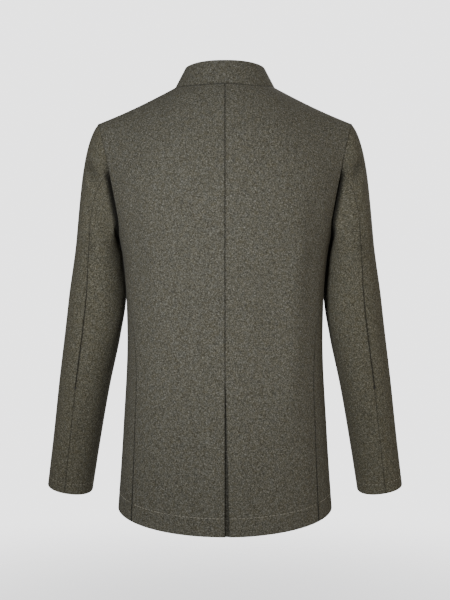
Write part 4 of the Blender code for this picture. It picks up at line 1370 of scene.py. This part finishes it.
# %% Where the buttons lie
BUTTON_COUNT = 5
BUTTON_RADIUS = 0.0105
BUTTON_THICKNESS = 0.0040
BUTTON_TOP = -0.098  # height of the first
BUTTON_STEP = 0.108

front = panels["front_left"]
front_ways = normals(front)


def level(values, height):
    """Values of the left front along the line at that height, one for each column."""
    columns = range(front.shape[1])
    return np.array([[np.interp(height, front[:, c, 2], values[:, c, k]) for k in range(3)] for c in columns])


def on_front(height, x):
    """Points of the left front and its directions outwards, at one height and some places across."""
    line, ways = level(front, height), level(front_ways, height)
    points = np.stack([np.interp(x, line[:, 0], line[:, k]) for k in range(3)], axis=-1)
    return points, unit(np.stack([np.interp(x, line[:, 0], ways[:, k]) for k in range(3)], axis=-1))


heights = [BUTTON_TOP - k * BUTTON_STEP for k in range(BUTTON_COUNT)]
print("buttons at heights:", [round(height, 3) for height in heights])

# %% [markdown]
# Horn grew in layers, so a polished button is a near black brown with paler streaks that all run one way.
# A noise that is stretched along one axis gives them. The polish is soft, as on a button that is worn.

# %% Horn material
HORN_STREAK = 0.0022  # across the growth lines of the horn


def horn_material():
    """Polished dark horn: near black brown, with paler streaks along the way that it grew."""
    material, tree = new_material("dark_horn")
    place = add(tree, "ShaderNodeTexCoord")
    along = add(tree, "ShaderNodeMapping", Vector=place.outputs["Object"],
                Scale=(1 / HORN_STREAK, 1 / HORN_STREAK, 0.15 / HORN_STREAK))
    streak = add(tree, "ShaderNodeTexNoise", Vector=along.outputs["Vector"], Scale=1.0, Detail=3.0)
    colour = add(tree, "ShaderNodeValToRGB", Fac=streak.outputs["Fac"])
    set_ramp(colour, ((0.30, "#1b1512"), (0.55, "#2f251d"), (0.78, "#5a4936")))
    shader = add(tree, "ShaderNodeBsdfPrincipled", Base_Color=colour.outputs["Color"], Roughness=0.33)
    finish_material(tree, shader)
    return material


HORN = horn_material()
print("material:", HORN.name)

# %% [markdown]
# A button is turned on a lathe, so its body is a profile swept round an axis. The corners of the profile are
# cut twice, which rounds them. The four holes go right through: pegs are cut out of the blank with a Boolean,
# because painted holes would be seen to be flat from the side.

# %% Turned blank
Turned = namedtuple("Turned", "radius rise")  # as shares of the button's radius and thickness
BUTTON_PROFILE = (
    Turned(0.00, 0.00),
    Turned(0.80, 0.00),
    Turned(1.00, 0.35),
    Turned(1.00, 0.70),
    Turned(0.92, 1.00),
    Turned(0.75, 1.00),
    Turned(0.60, 0.72),
    Turned(0.00, 0.66),
)
BUTTON_SIDES = 64


def turned_blank():
    """A button with no holes, at the origin and facing +Z."""
    line = np.array(BUTTON_PROFILE, float) * [BUTTON_RADIUS, BUTTON_THICKNESS]
    for _ in range(2):
        near, far = 0.75 * line[:-1] + 0.25 * line[1:], 0.25 * line[:-1] + 0.75 * line[1:]
        line = np.concatenate([line[:1], np.stack([near, far], axis=1).reshape(-1, 2)[1:-1], line[-1:]])
    shape = bmesh.new()
    rings = [[shape.verts.new((0.0, 0.0, line[0][1]))]]
    for radius, rise in line[1:-1]:
        turns = np.linspace(0, math.tau, BUTTON_SIDES, endpoint=False)
        rings.append([shape.verts.new((radius * math.cos(t), radius * math.sin(t), rise)) for t in turns])
    rings.append([shape.verts.new((0.0, 0.0, line[-1][1]))])
    for low, high in zip(rings[:-1], rings[1:]):
        for k in range(BUTTON_SIDES):
            after = (k + 1) % BUTTON_SIDES
            corners = [low[k % len(low)], low[after % len(low)], high[after % len(high)], high[k % len(high)]]
            shape.faces.new(list(dict.fromkeys(corners)))
    mesh = bpy.data.meshes.new("drilled_button")
    shape.to_mesh(mesh)
    shape.free()
    return bpy.data.objects.new("blank", mesh)


# %% Drilled button
HOLE_SPREAD = 0.0021  # from the middle of the button to a hole, along each axis
HOLE_RADIUS = 0.0008
HOLE_SIDES = 20
SHARP_EDGE = math.radians(40)


def pegs():
    """Four pegs where the holes go."""
    shape = bmesh.new()
    for x in (-HOLE_SPREAD, HOLE_SPREAD):
        for y in (-HOLE_SPREAD, HOLE_SPREAD):
            made = bmesh.ops.create_cone(shape, cap_ends=True, segments=HOLE_SIDES, radius1=HOLE_RADIUS,
                                         radius2=HOLE_RADIUS, depth=4 * BUTTON_THICKNESS)
            bmesh.ops.translate(shape, verts=made["verts"], vec=(x, y, 0.0))
    mesh = bpy.data.meshes.new("pegs")
    shape.to_mesh(mesh)
    shape.free()
    return bpy.data.objects.new("pegs", mesh)


def drilled_button():
    """The finished mesh of one button: the blank with the pegs cut out of it."""
    blank, drill = turned_blank(), pegs()
    for thing in (blank, drill):
        bpy.context.scene.collection.objects.link(thing)
    cut = blank.modifiers.new("holes", "BOOLEAN")
    cut.object = drill
    cut.solver = "EXACT"
    drilled = bpy.data.meshes.new_from_object(blank.evaluated_get(bpy.context.evaluated_depsgraph_get()))
    for thing in (blank, drill):
        bpy.data.objects.remove(thing)
    drilled.shade_smooth()
    drilled.set_sharp_from_angle(angle=SHARP_EDGE)
    drilled.materials.clear()
    drilled.materials.append(HORN)
    return drilled


BUTTON = drilled_button()
print("button:", len(BUTTON.polygons), "faces")

# %% [markdown]
# Each button lies on the highest point of the cloth below it and faces straight out of the front. Two bars of
# thread join its holes, up and down, and the buttonhole's two edges of purl stitches run out beside it.

# %% Seat of a button
CENTRE = np.array([0.0])  # the buttons stand on the centre line


def seat_on_front(height):
    """Where a button lies on the front, and its directions aside, upwards and out."""
    spread = np.linspace(-1, 1, 9) * BUTTON_RADIUS
    under = np.array([on_front(height + rise, CENTRE)[0][0] for rise in spread])
    middle = under[len(under) // 2]
    out = on_front(height, CENTRE)[1][0]
    aside = unit(np.cross(np.array([0.0, 0.0, 1.0]), out))
    return middle + out * (np.max((under - middle) @ out) + SEAM_GAP), aside, np.cross(out, aside), out


print("first button lies at:", seat_on_front(heights[0])[0].round(4))

# %% Sew on the buttons
THREAD_RISE = 0.70  # of the button's thickness, where its thread lies in the dish
BAR_HALF = 0.0004  # half the breadth of a bar of thread
BUTTONHOLE_REACH = (0.006, 0.0205)  # from the centre line, where the hole shows beside its button
PURL_GAP = 0.0010  # from the middle of the hole to the stitches of one edge

for k, height in enumerate(heights):
    seat, aside, upwards, out = seat_on_front(height)
    placed = BUTTON.copy()
    placed.name = f"horn_button_{k + 1}"
    turn = np.eye(4)
    turn[:3, :3] = np.stack([aside, upwards, out], axis=1)
    turn[:3, 3] = seat
    placed.transform(Matrix(turn.tolist()))
    dress(bpy.data.objects.new(f"horn_button_{k + 1}", placed), "button", f"button_{k + 1}")
    top = seat + out * (THREAD_RISE * BUTTON_THICKNESS)
    bars = [top + aside * (x + np.array([[-BAR_HALF], [BAR_HALF]])) for x in (-HOLE_SPREAD, HOLE_SPREAD)]
    stitched(f"button_thread_{k + 1}", bars, "button", Pitch=0.0004, Length=2.5 * HOLE_SPREAD,
             Thickness=0.0006, Laid=True, Direction=upwards.tolist(), Unevenness=0.05, Seed=11 + k,
             Thread=DARK_THREAD)
    along = np.linspace(*BUTTONHOLE_REACH, 12)
    edges = []
    for rise in (-PURL_GAP, PURL_GAP):
        points, ways = on_front(height + rise, along)
        edges.append(points + ways * THREAD_LIFT)
    stitched(f"buttonhole_{k + 1}", edges, "wool", Pitch=0.0005, Length=0.0021, Thickness=0.0006, Laid=True,
             Direction=upwards.tolist(), Unevenness=0.1, Seed=21 + k, Thread=DARK_THREAD)
